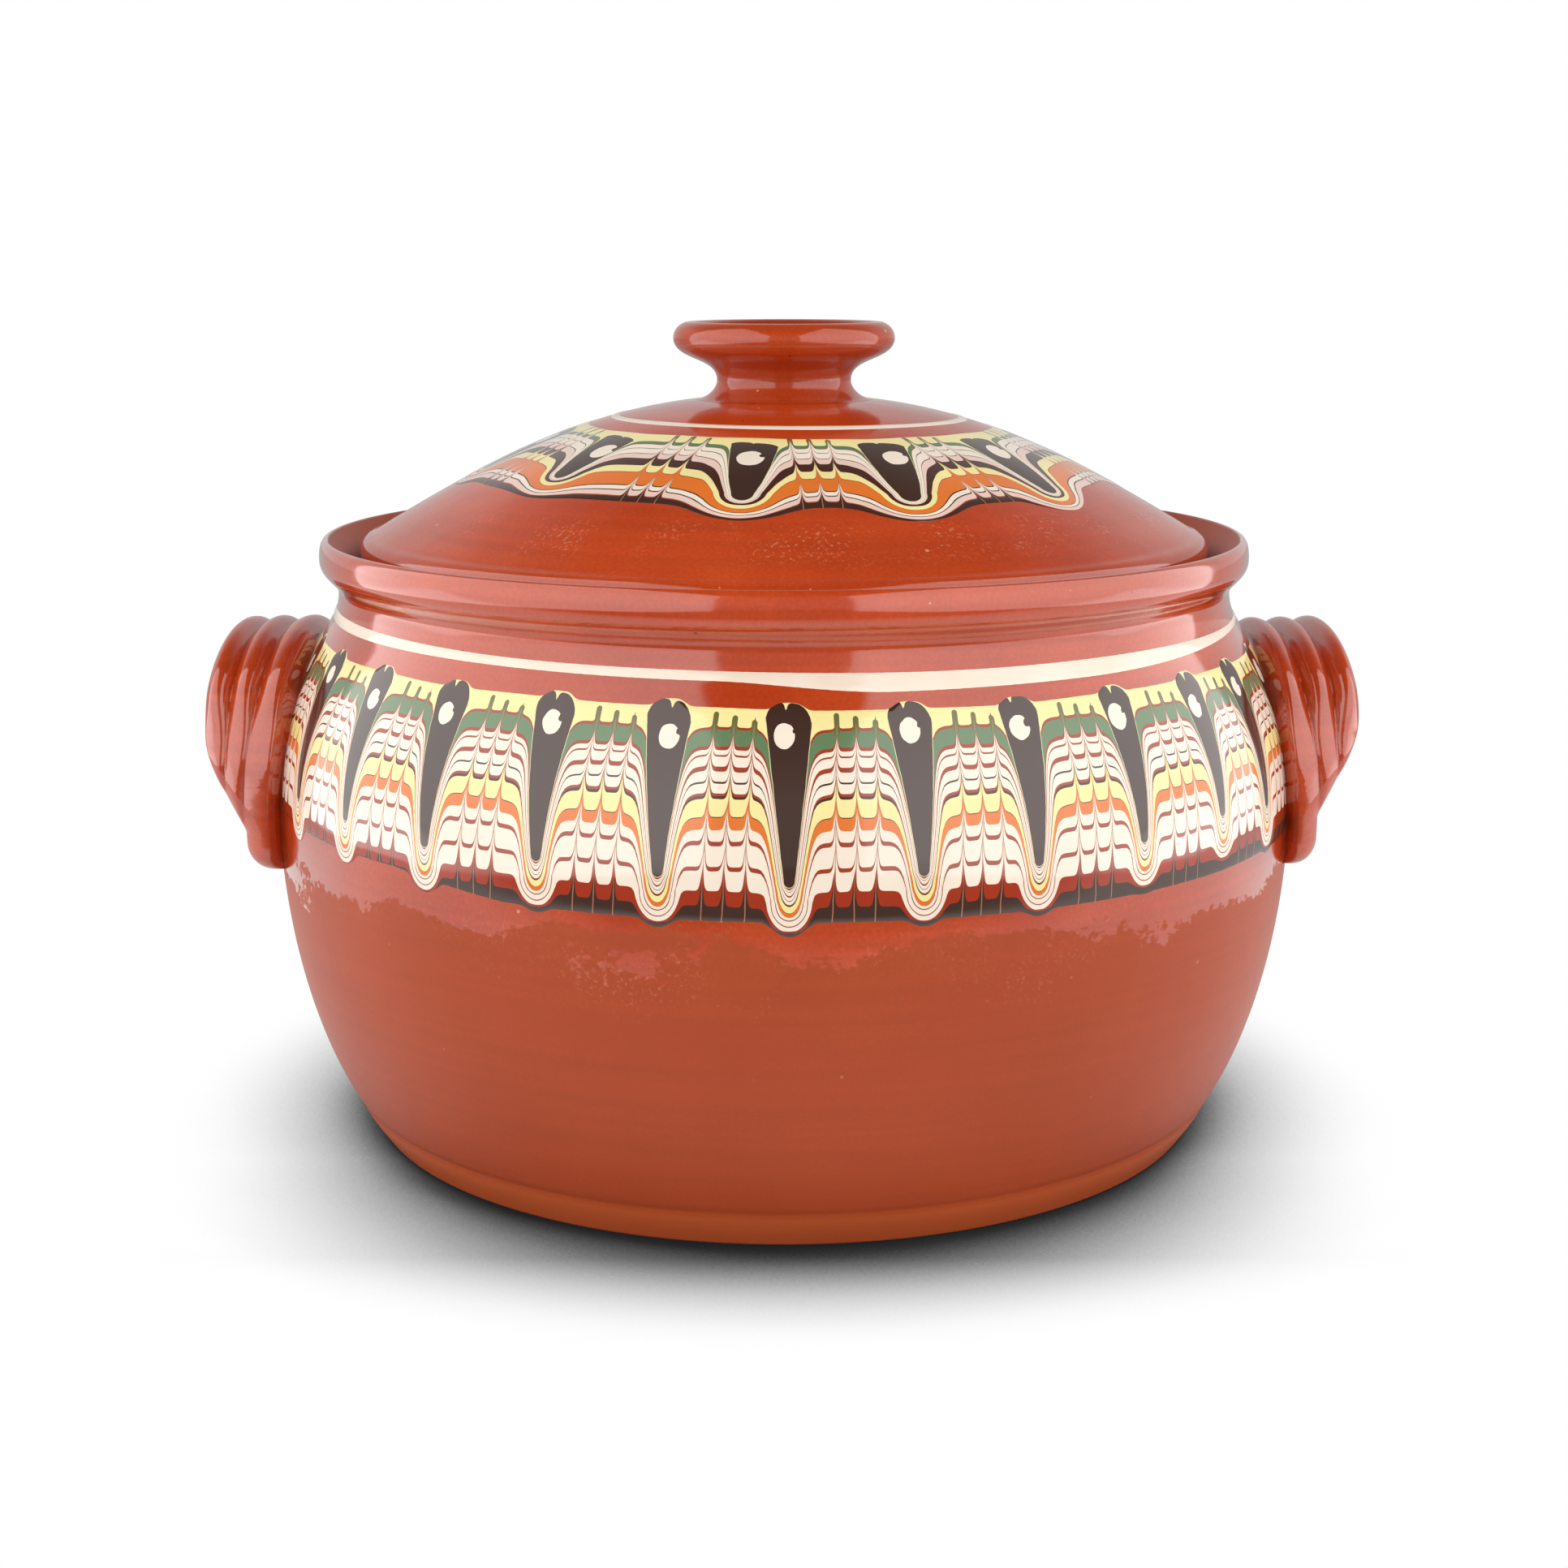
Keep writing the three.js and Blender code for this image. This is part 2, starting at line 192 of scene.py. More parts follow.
def studio_room():
    """World round the pot: white to the camera, else a soft glow under a dim ceiling, stronger behind the pot
    than in front."""
    world = bpy.data.worlds.new("studio")
    world.use_nodes = True
    bpy.context.scene.world = world
    tree = world.node_tree
    tree.nodes.clear()
    towards = node(tree, "SeparateXYZ", [node(tree, "TexCoord").outputs["Generated"]]).outputs
    behind = node(tree, "MapRange", [towards["Y"], *BACKDROP_SPAN, ROOM_GLOW, BACKDROP_GLOW])
    below = node(tree, "MapRange", [towards["Z"], *CEILING_SPAN, 1.0, CEILING_SHARE])
    glow = node(tree, "Math:MULTIPLY", [behind, below])
    camera_ray = node(tree, "LightPath").outputs["Is Camera Ray"]
    glow = node(tree, "Math:MAXIMUM", [camera_ray, glow])
    background = node(tree, "Background", {"Color": (1, 1, 1, 1), "Strength": glow})
    node(tree, "OutputWorld", {"Surface": background})


def seen_plainly(tree):
    """One for the rays that show the background: straight to the camera, off a gloss or through glass."""
    ray = node(tree, "LightPath").outputs
    seen = node(tree, "Math:MAXIMUM", [ray["Is Camera Ray"], ray["Is Glossy Ray"]])
    return node(tree, "Math:MAXIMUM", [seen, ray["Is Transmission Ray"]])


def studio_paper():
    """White paper that greys close to the pot, by the share of sky left open there; the grey deepens in front
    of the pot and ends soon after. Mirrored in the glaze the paper fades out before and behind the pot. Rays
    that only carry light meet plain pale paper."""
    paper, tree = new_material("studio_paper")
    sky = node(tree, "AmbientOcclusion", {"Distance": SHADOW_REACH}, samples=16).outputs["AO"]
    along = node(tree, "SeparateXYZ", [node(tree, "TexCoord").outputs["Object"]]).outputs["Y"]
    deepens = node(tree, "MapRange", [along, *SHADOW_DEEPENS])
    ends = node(tree, "MapRange", [along, *SHADOW_ENDS])
    shift = node(tree, "Math:MAXIMUM", [deepens, ends])
    sky = node(tree, "Math:ADD", [sky, shift])
    tones = [(share, (tone, tone, tone, 1)) for share, tone in SHADOW_TONES]
    shade = node(tree, "ValToRGB", [sky], stops=tones)
    front = node(tree, "MapRange", [along, *MIRRORED_FRONT])
    back = node(tree, "MapRange", [along, *MIRRORED_BACK])
    mirrored = node(tree, "Math:MULTIPLY", [front, back])
    camera_ray = node(tree, "LightPath").outputs["Is Camera Ray"]
    level = node(tree, "Math:MAXIMUM", [camera_ray, mirrored])
    white = node(tree, "Emission", {"Color": shade, "Strength": level})
    sheet = node(tree, "BsdfDiffuse", {"Color": linear(FLOOR_COLOUR)})
    node(tree, "OutputMaterial", {"Surface": node(tree, "MixShader", [seen_plainly(tree), sheet, white])})
    return paper


side_panel("panel_left", -1)
side_panel("panel_right", 1)
studio_room()

floor_corners = FLOOR_REACH / MM * np.array([(-1, -1, 0), (1, -1, 0), (1, 1, 0), (-1, 1, 0)])
floor = piece("floor", floor_corners, [(0, 1, 2, 3)], studio_paper())


# Shapes from profiles

def turned(name, profile, segments, material):
    """Piece turned about +Z: profile point (r, z) goes to (r cos a, r sin a, z) at each of the angles a.
    The profile starts and ends on the axis, where one point closes the ring with triangles."""
    around = np.arange(segments) * TURN / segments
    r, z = profile[1:-1, :1], profile[1:-1, 1:]
    rings = np.stack([r * np.cos(around), r * np.sin(around), z + 0 * around], -1).reshape(-1, 3)
    points = np.vstack([rings, [[0, 0, profile[0, 1]], [0, 0, profile[-1, 1]]]])
    index = np.arange(len(rings)).reshape(len(r), segments)
    index = np.hstack([index, index[:, :1]])
    low = np.stack([np.full(segments, len(rings)), index[0, 1:], index[0, :-1]], -1)
    high = np.stack([index[-1, :-1], index[-1, 1:], np.full(segments, len(rings) + 1)], -1)
    return piece(name, points, quads(index).tolist() + low.tolist() + high.tolist(), material)


def joined(*runs):
    """One profile from several runs of points, where a first point that repeats the last is left out."""
    whole = [np.atleast_2d(runs[0])]
    for run in map(np.atleast_2d, runs[1:]):
        repeats = np.allclose(run[0], whole[-1][-1])
        whole.append(run[1:] if repeats else run)
    return np.vstack(whole)


def bend(start, end, first, second, steps):
    """Cubic curve between two profile points; the shares say how far along each axis its handles lie."""
    start, end = np.array(start, float), np.array(end, float)
    near, far = start + (end - start) * first, start + (end - start) * second
    t = np.linspace(0, 1, steps + 1)[:, None]
    return (1 - t) ** 3 * start + 3 * (1 - t) ** 2 * t * near + 3 * (1 - t) * t ** 2 * far + t ** 3 * end


def straight(start, end, steps):
    return np.linspace(start, end, steps + 1)


def smooth(share):
    """Soft step from 0 to 1: s^2 (3 - 2 s) of a share held between 0 and 1."""
    share = np.clip(share, 0, 1)
    return share * share * (3 - 2 * share)


# Shape of the pot's wall and of the lid's dome, as thrown

POT_HEIGHT = 166.5
FOOT = (125.0, 9.5)
BELLY = (144.0, 90.0)
SHOULDER = (127.3, 144.3)
NECK = (125.2, 152.5)
WALL = 8.0
WALL_LINE = joined(
    bend(FOOT, BELLY, (0.53, 0.19), (1, 0.57), 300),
    bend(BELLY, SHOULDER, (0, 0.4), (0.24, 0.62), 300),
    bend(SHOULDER, NECK, (0.6, 0.25), (1, 0.6), 100),
)

LID_Z = 158.3
LID_RADIUS = 118.9
LID_WALL = 6.5
DOME_EDGE = (LID_RADIUS - 1.1, LID_Z + 7.5)
CROWN = (24.5, 203.3)
DOME_LINE = bend(CROWN, DOME_EDGE, (0.4, 0.11), (0.69, 0.55), 600)


def wall_radius(z):
    """Radius of the pot's outer wall at a height, read along its curves."""
    return np.interp(z, WALL_LINE[:, 1], WALL_LINE[:, 0])


def dome_height(r):
    """Height of the lid's top at a radius, read along its curve."""
    return np.interp(r, DOME_LINE[:, 0], DOME_LINE[:, 1])


def on_wall(z):
    """Profile points (r, z) and outward normals of the wall at heights, from its slope over a millimetre."""
    slope = wall_radius(z + 0.5) - wall_radius(z - 0.5)
    out = np.stack([np.ones_like(slope), -slope], -1) / np.sqrt(1 + slope ** 2)[..., None]
    return np.stack([wall_radius(z), z], -1), out


def on_dome(r):
    """Profile points (r, z) and outward normals of the dome at radii, from its slope over a millimetre."""
    slope = dome_height(r + 0.5) - dome_height(r - 0.5)
    out = np.stack([-slope, np.ones_like(slope)], -1) / np.sqrt(1 + slope ** 2)[..., None]
    return np.stack([r, dome_height(r)], -1), out


# Red earthenware, thrown and glazed

CLAY_DEEP = "#B23A13"
CLAY_RED = "#C6491C"
CLAY_SATIN = "#A2441B"
CLAY_BARE = "#BC5A26"
PRICK_PALE = "#DE9C78"
CREAM_DEEP = "#EBD5BC"
CREAM_LIGHT = "#FBEBDA"

# Specks: which chance of a cell decides, the least chance, their strength, size in a cell, and tint
SPECK_CELL = 7.0
LIME_SPECKS = (0, 0.66, 0.6, 0.08, "#E4AE86")
DARK_PITS = (1, 0.8, 0.8, 0.07, "#3B150C")
PIN_HOLES = (0, 0.85, 1.0, 0.045, "#7A4630")

# Belts of pricks, from the axis on the lid and from the glaze's edge on the pot: start, full, fading, end
LID_PRICKS = (94.0, 100.0, 106.0, 113.0)
EDGE_PRICKS = (-10.0, -1.0, 0.0, 6.0)
EDGE_PRICK_SHARE = 0.55

GLAZE_EDGE = (68.0, 94.0)
GLAZE_FRAY = 9.0
GLAZE_BLUR = 0.5
GALLERY_INSIDE = (127.4, 127.9)
GALLERY_ABOVE = (156.5, 157.5)
BARE_FOOT = (8.5, 11.5)
BARE_SHARE = 0.55
SATIN_SHARE = 0.65
SATIN_ROUGHNESS = 0.42
GLAZE_ROUGHNESS = (0.07, 0.15)
SLIP_REFRACTION = 1.7


def specked(tree, place, colour, kinds):
    """Round specks of the listed kinds, at most one of each in a cell of 7 mm. Past the least chance a speck
    grows with its cell's chance, up to its size."""
    cells = node(tree, "TexVoronoi", {"Vector": place, "Scale": per(SPECK_CELL)}).outputs
    chances = node(tree, "SeparateColor", [cells["Color"]]).outputs
    for which, least, strength, size, tint in kinds:
        reach = node(tree, "MapRange", [chances[which], least, 1.0, 0.0, size])
        speck = node(tree, "Math:LESS_THAN", [cells["Distance"], reach])
        speck = node(tree, "Math:MULTIPLY", [speck, strength])
        colour = node(tree, "Mix:RGBA", {0: speck, 6: colour, 7: linear(tint)})
    return colour


def earthenware(tree, tone=1.0):
    """Colour and relief of thrown red clay: cloudy patches about 45 mm across, finger rings some 2.5 mm
    apart, grog of about 0.9 mm, lime specks and dark pits. Returns place, colour and rings."""
    place = node(tree, "TexCoord").outputs["Object"]
    clouds = node(tree, "TexNoise", {"Vector": place, "Scale": per(45), "Detail": 3.0})
    patchy = node(tree, "MapRange", [clouds, 0.3, 0.7])
    colour = node(tree, "Mix:RGBA", {0: patchy, 6: linear(CLAY_DEEP), 7: linear(CLAY_RED)})
    stretch = node(tree, "Mapping", {"Vector": place, "Scale": (per(90), per(90), per(2.5))})
    rings = node(tree, "TexNoise", {"Vector": stretch, "Scale": 1.0, "Detail": 2.0})
    streaks = node(tree, "MapRange", [rings, 0.3, 0.7, 0.9 * tone, 1.07 * tone])
    grog = node(tree, "TexNoise", {"Vector": place, "Scale": per(0.9), "Detail": 1.0})
    grains = node(tree, "MapRange", [grog, 0.35, 0.75, 0.93, 1.08])
    shade = node(tree, "Math:MULTIPLY", [streaks, grains])
    colour = node(tree, "VectorMath:MULTIPLY", [colour, shade])
    colour = specked(tree, place, colour, (LIME_SPECKS, DARK_PITS))
    return place, colour, rings


def from_axis(tree, place):
    """Distance of a place from the pot's axis."""
    level = node(tree, "VectorMath:MULTIPLY", [place, (1, 1, 0)])
    return node(tree, "VectorMath:LENGTH", [level])


def soft_belt(tree, value, ends, most=1.0):
    """Share that rises between the first two ends, in millimetres, and falls back between the last two."""
    start, full, fading, end = (MM * place for place in ends)
    rise = node(tree, "MapRange", [value, start, full, 0.0, most])
    fall = node(tree, "MapRange", [value, fading, end, 1.0, 0.0])
    return node(tree, "Math:MULTIPLY", [rise, fall])


def pricked(tree, place, colour, belt):
    """Pale pricks of about a millimetre where the glaze is thin, in clumps of some 20 mm within a belt."""
    grains = node(tree, "TexNoise", {"Vector": place, "Scale": per(1.1), "Detail": 2.0, "Roughness": 0.6})
    pricks = node(tree, "MapRange", [grains, 0.57, 0.7, 0.0, 0.5])
    clumps = node(tree, "TexNoise", {"Vector": place, "Scale": per(20), "Detail": 1.0})
    clumps = node(tree, "MapRange", [clumps, 0.4, 0.62])
    share = node(tree, "Math:MULTIPLY", [pricks, clumps])
    share = node(tree, "Math:MULTIPLY", [share, belt])
    return node(tree, "Mix:RGBA", {0: share, 6: colour, 7: linear(PRICK_PALE)})


def glaze_surface(tree, place, rings):
    """Normal and wet roughness of the clear glaze: finger rings, dimples of about 6 mm and shallow pools of
    about 18 mm, a little less wet where the dimples stand high."""
    dimples = node(tree, "TexNoise", {"Vector": place, "Scale": per(6), "Detail": 2.0})
    relief = node(tree, "Math:ADD", [rings, dimples])
    pools = node(tree, "TexNoise", {"Vector": place, "Scale": per(18), "Detail": 1.0})
    relief = node(tree, "Math:MULTIPLY_ADD", [pools, 4.0, relief])
    bump = node(tree, "Bump", {"Strength": 0.15, "Distance": 0.3 * MM, "Height": relief})
    return bump, node(tree, "MapRange", [dimples, 0.3, 0.75, *GLAZE_ROUGHNESS])


def glazed_clay(name, tone, refraction):
    """Red earthenware under a clear lead-like glaze: deep colour, a wet gloss with faint rings and dimples,
    and pricks in a belt round the axis that only the lid reaches."""
    material, tree = new_material(name)
    place, colour, rings = earthenware(tree, tone)
    belt = soft_belt(tree, from_axis(tree, place), LID_PRICKS)
    colour = pricked(tree, place, colour, belt)
    bump, wet = glaze_surface(tree, place, rings)
    shader = node(tree, "BsdfPrincipled", {
        "Base Color": colour, "Roughness": wet, "IOR": refraction, "Normal": bump,
    })
    node(tree, "OutputMaterial", {"Surface": shader})
    return material


def pot_glaze(tree, place, height):
    """Cover of the pot's glaze from 0 to 1, and how far above its lower edge a place lies. The edge hangs in
    tongues some 50 mm wide and 22 mm high, frayed in grains of 1.8 mm. The gallery stays without glaze."""
    stretch = node(tree, "Mapping", {"Vector": place, "Scale": (per(50), per(50), per(22))})
    tongues = node(tree, "TexNoise", {"Vector": stretch, "Scale": 1.0, "Detail": 6.0, "Roughness": 0.6})
    edge = node(tree, "MapRange", [tongues, 0.25, 0.75, *(MM * z for z in GLAZE_EDGE)])
    edge = node(tree, "Math:MULTIPLY_ADD", [waver(tree, place, 1.8), GLAZE_FRAY * MM, edge])
    above = node(tree, "Math:SUBTRACT", [height, edge])
    cover = node(tree, "MapRange", [above, -GLAZE_BLUR * MM, GLAZE_BLUR * MM])
    inside = node(tree, "MapRange", [from_axis(tree, place), *(MM * r for r in GALLERY_INSIDE), 1.0, 0.0])
    gallery = node(tree, "MapRange", [height, *(MM * z for z in GALLERY_ABOVE)])
    gallery = node(tree, "Math:MULTIPLY", [inside, gallery])
    return node(tree, "Math:SUBTRACT", [cover, gallery]), above


def pot_clay():
    """Red earthenware of the pot: glazed above a ragged, pricked edge below the band, satin below it and in
    the gallery that the lid sits in, bare at the foot."""
    material, tree = new_material("pot_earthenware")
    place, colour, rings = earthenware(tree)
    height = node(tree, "SeparateXYZ", [place]).outputs["Z"]
    glaze, above = pot_glaze(tree, place, height)
    satin = node(tree, "Mix:RGBA", {0: SATIN_SHARE, 6: colour, 7: linear(CLAY_SATIN)})
    colour = node(tree, "Mix:RGBA", {0: glaze, 6: satin, 7: colour})
    colour = pricked(tree, place, colour, soft_belt(tree, above, EDGE_PRICKS, EDGE_PRICK_SHARE))
    bare = node(tree, "MapRange", [height, *(MM * z for z in BARE_FOOT), BARE_SHARE, 0.0])
    colour = node(tree, "Mix:RGBA", {0: bare, 6: colour, 7: linear(CLAY_BARE)})
    bump, wet = glaze_surface(tree, place, rings)
    matt = node(tree, "Mix", {0: glaze, 2: SATIN_ROUGHNESS, 3: wet})
    shader = node(tree, "BsdfPrincipled", {
        "Base Color": colour, "Roughness": matt, "IOR": 1.42, "Normal": bump,
        "Coat Weight": glaze, "Coat Roughness": 0.08, "Coat IOR": 1.55,
    })
    node(tree, "OutputMaterial", {"Surface": shader})
    return material


def slip_shader(tree, place, colour, roughness):
    """Ends a slip's material: the glaze over it shines evenly and has faint dimples of about 6 mm."""
    dimples = node(tree, "TexNoise", {"Vector": place, "Scale": per(6), "Detail": 2.0})
    bump = node(tree, "Bump", {"Strength": 0.1, "Distance": 0.3 * MM, "Height": dimples})
    shader = node(tree, "BsdfPrincipled", {
        "Base Color": colour, "Roughness": roughness, "IOR": SLIP_REFRACTION, "Normal": bump,
    })
    node(tree, "OutputMaterial", {"Surface": shader})


def cream_slip():
    """Cream slip trailed in a line and glazed over: nearly even, with faint clouds and a few pin-holes."""
    material, tree = new_material("glazed_cream_slip")
    place = node(tree, "TexCoord").outputs["Object"]
    clouds = node(tree, "TexNoise", {"Vector": place, "Scale": per(12), "Detail": 3.0})
    colour = node(tree, "Mix:RGBA", {0: clouds, 6: linear(CREAM_DEEP), 7: linear(CREAM_LIGHT)})
    slip_shader(tree, place, specked(tree, place, colour, (PIN_HOLES,)), 0.1)
    return material


LID_CLAY = glazed_clay("glazed_earthenware_lid", 1.0, 1.7)
KNOB_CLAY = glazed_clay("glazed_earthenware_knob", 0.82, 1.62)
HANDLE_CLAY = glazed_clay("glazed_earthenware_handle", 0.97, 1.85)
POT_CLAY = pot_clay()
CREAM_SLIP = cream_slip()


# Feathered slip: stripes laid round the pot, pulled down under heavy drops and combed up between them

YELLOW, GREEN, ORANGE = "#FAEAA0", "#66825A", "#E8782A"
CREAM, PINK, PALE = "#FAEAD6", "#F2CFC0", "#E6D9A4"
RUST, OXBLOOD, BROWN = "#A23D22", "#A63212", "#4A241A"
INK, OLIVE, MOSS = "#422A20", "#6E6B3A", "#557A4C"
THREAD = "#B07456"


def pot_drop_half(rise):
    """Half width of a drop on the pot at a height above its round tip's middle: nearly straight sides."""
    return 1.35 + 0.12 * rise


def lid_drop_half(rise):
    """Half width of a drop on the lid, h from its round tip's middle: 2.9 + 3.9 (1 - exp(-h / 12))."""
    return 2.9 + 3.9 * (1 - np.exp(-rise / 12))


POT_BAND = {
    # Surface, where depth starts, which way it runs, and the band's drift off centre
    "surface": on_wall, "top": 140.0, "way": -1, "drift": 1.1,
    # Depth of the upper edge, its swell over a drop, and the depth of the last stripe's end
    "start": 1.1, "swell": 1.6, "depth": 49.4,
    # Last stripe thinned: side, angles where that starts and is full, and by how much
    "thin": (-1, 28, 42, 3.4),
    # Drops: half width, depth of head and tip, head's cleft and breadth, dot's depth and radius
    "half": pot_drop_half, "drop_top": -0.3, "tip": 38.7, "head": (2.3, 4.9), "dot": (7.0, 2.5),
    # Comb: gap of strokes, radius where it holds, lean, lift at top and end, width of a cusp
    "comb": 4.8, "comb_radius": 137.0, "comb_lean": -0.075, "lift": (2.7, 8.0), "stroke": 0.4,
    # Olive fingers of the comb: where they start and end
    "finger": 2.0, "green_end": 7.5,
    # How the stripes spread up a drop, and how softly they meet, by depth
    "spread": 36.0, "soft": ((0, 12, 27, 50), (5.0, 5.0, 4.0, 2.0)),
    # Depths gathered round a drop, and how far each lies from its side and from its tip
    "gathered": (9.0, 10.4, 20.9, 24.8, 27.7, 41.8, 45.5, 49.4, 90),
    "side": (0, 0.2, 1.4, 1.8, 2.2, 4.4, 4.7, 5.6, 13),
    "below": (0, 0.6, 4.5, 6.0, 7.1, 10.6, 10.8, 12.0, 25),
    # Depth where each stripe starts, and its slip
    "stripes": (
        (-0.9, YELLOW), (5.2, RUST), (5.9, GREEN), (9.5, RUST), (10.4, CREAM), (11.4, RUST), (11.75, CREAM),
        (13.9, RUST), (15.0, CREAM), (17.1, BROWN), (17.5, CREAM), (19.6, RUST), (20.3, BROWN),
        (20.9, YELLOW), (24.8, BROWN), (25.0, ORANGE), (27.7, CREAM), (30.2, RUST), (31.3, CREAM),
        (36.2, RUST), (37.2, CREAM), (41.8, OXBLOOD), (45.5, INK), (49.4, THREAD),
    ),
    # Columns and rows of a piece of the band, and lines of its bake map
    "mesh": (801, 120, 3),
}
LID_BAND = {
    "surface": on_dome, "top": 56.4, "way": 1, "drift": 1.6,
    "start": 0.0, "swell": 0.0, "depth": 33.3,
    "thin": (1, 38, 52, 1.9),
    "half": lid_drop_half, "drop_top": 3.4, "tip": 30.9, "head": (0.7, 7.4), "dot": (11.4, 3.5),
    "comb": 4.9, "comb_radius": None, "comb_lean": 0.0, "lift": (4.6, 4.6), "stroke": 0.45,
    "finger": -0.3, "green_end": 6.0,
    "spread": 40.0, "soft": ((0, 12, 27, 36), (3.5, 5.0, 5.0, 4.0)),
    "gathered": (6.3, 14.1, 17.6, 20.6, 26.2, 30.7, 33.3, 58),
    "side": (0, 1.5, 2.6, 4.0, 5.6, 8.6, 10.5, 24),
    "below": (0, 1.2, 1.8, 3.3, 4.6, 6.6, 7.5, 15),
    "stripes": (
        (-0.9, YELLOW), (4.6, MOSS), (6.1, RUST), (6.5, CREAM), (8.4, BROWN), (8.8, CREAM), (11.3, BROWN),
        (11.7, PINK), (14.1, BROWN), (17.6, YELLOW), (20.6, RUST), (20.9, ORANGE), (26.2, BROWN),
        (26.6, CREAM), (28.3, BROWN), (28.7, PINK), (30.7, RUST), (31.2, INK), (33.3, THREAD),
    ),
    "mesh": (400, 100, 2),
}

# Drops seen in the photograph, from left to right: angles from the front, and how they differ
POT_DROP_ANGLES = (-63.5, -50.8, -37.8, -24.3, -11.8, 0.5, 13, 25, 37.8, 50.8, 62)
POT_DROPS = 29
POT_SEEN = {"tip": (0, -0.4, 0.5, -0.5, 0.6, 2.2, 0.1, 0, -1.8, -3.5, -0.7)}
LID_DROP_ANGLES = (-46.5, -7, 23, 53.8)
LID_DROPS = 10
LID_SEEN = {
    "tip": (-5, 0, 0.4, 0.9), "lean": (0, 0, -4, -4.7), "dot_across": (2, -0.3, 1.8, 1.8),
    "comb": (0.557, 0.443, 0.465),
}

LEAN_PIVOT = 0.4
CLEFT_WIDTH = 0.4
HEAD_TILT = 0.12
HEAD_FALL = 2.6
CUSP_POWER = 1.25
FINGER_HALF, FINGER_STEP = 0.7, 0.7
THREAD_HALF, THREAD_SHARE = 0.13, 0.6
OUTLINE = 0.16
OLIVE_DEPTH = -1.0
LEAST_DEPTH = -2.0
PAST_DEPTH = 1.05
FIELDS = ("stripe", "drop", "dot", "comb")


def laid_drops(angles, count, seed, seen):
    """Angles of all the drops in degrees, the seen ones first and the rest evenly up to a full turn, and how
    each fell: small differences in length, width and lean, in notch and dot, and in where the comb ran."""
    rest = np.linspace(angles[-1], angles[0] + 360, count - len(angles) + 2)[1:-1]
    chance = np.random.default_rng(seed)
    drops = {
        "tip": chance.normal(0, 0.7, count), "half": chance.normal(1, 0.05, count),
        "lean": chance.normal(0, 0.5, count), "notch": chance.normal(-0.4, 0.6, count),
        "dot_across": chance.normal(-0.5, 0.5, count), "dot_down": chance.normal(0, 0.5, count),
        "dot_size": chance.normal(0, 0.12, count), "dot_long": chance.uniform(1, 1.15, count),
        "bite": chance.uniform(0.4, 1.0, count), "comb": chance.normal(0.518, 0.012, count),
    }
    for habit, values in seen.items():
        drops[habit][:len(values)] = values
    return {"angle": np.hstack([angles, rest]), **drops}


def near_drop(band, drops, drop, across, down):
    """Stripe depth near one drop, and how far outside the drop and its dot each point lies. The stripes
    gather by a distance that counts side and tip by their own thickness. The head has a cleft, h exp(-d /
    0.4), tilts a little and falls off to both corners."""
    length = band["tip"] + drops["tip"][drop]
    across = across - drops["lean"][drop] * (down / length - LEAN_PIVOT)
    round_tip = band["half"](0.0)
    past = np.maximum(down - length + round_tip, 0)
    half = band["half"](np.maximum(length - round_tip - down, 0)) * drops["half"][drop]
    radial = np.hypot(across, past)
    outside = np.where(past > 0, radial - round_tip * drops["half"][drop], np.abs(across) - half)
    downward = (past / np.maximum(radial, 1e-6)) ** 3
    away = np.maximum(outside, 0)
    spread = 1 + np.maximum(length - down, 0) / band["spread"]
    at_side = np.interp(away / spread, band["side"], band["gathered"])
    stripe = at_side + (np.interp(away, band["below"], band["gathered"]) - at_side) * downward
    cleft, broad = band["head"]
    crown = band["drop_top"] + cleft * np.exp(-np.abs(across - drops["notch"][drop]) / CLEFT_WIDTH)
    crown = crown + HEAD_TILT * across + HEAD_FALL * (across / broad) ** 4
    edge = np.maximum(outside, crown - down)
    dot_down, dot_size = band["dot"]
    dot_x, dot_y = across - drops["dot_across"][drop], down - dot_down - drops["dot_down"][drop]
    dot = np.hypot(dot_x, dot_y / drops["dot_long"][drop]) - dot_size - drops["dot_size"][drop]
    bite = drops["bite"][drop] - np.hypot(dot_x - dot_size * 0.9, dot_y + dot_size * 0.4)
    return stripe, edge, np.maximum(dot, bite)


def cells_round(angles):
    """Drop angles over three turns and the number of each, so that any angle lies between two of them."""
    count = len(angles)
    return np.hstack([angles - 360, angles, angles + 360]), np.arange(3 * count) - count


def feathered(band, drops, turn, radius, down):
    """Fields of the pattern at angles in degrees and depths below the band's top edge. Stripes keep their
    depth between drops and follow each drop nearby: a soft least, -k log(sum(exp(-depth / k)))."""
    count = len(drops["angle"])
    order, number = cells_round(drops["angle"])
    cell = np.interp(turn, order, number)
    left = np.floor(cell).astype(int)
    soft = np.interp(down, *band["soft"])
    total = np.exp(-down / soft)
    edges, dots = [], []
    for side in (left, left + 1):
        across = np.radians(turn - order[side + count]) * radius
        stripe, edge, dot = near_drop(band, drops, side % count, across, down)
        total = total + np.exp(-stripe / soft)
        edges.append(edge)
        dots.append(dot)
    gap = np.radians(order[left + count + 1] - order[left + count]) * (band["comb_radius"] or radius)
    comb = drops["comb"][left % count] + band["comb_lean"] * (down / band["depth"] - 0.5)
    return {
        "stripe": -soft * np.log(total), "drop": np.minimum(*edges), "dot": np.minimum(*dots),
        "comb": comb, "cell": np.broadcast_to(cell, down.shape), "gap": np.broadcast_to(gap, down.shape),
    }


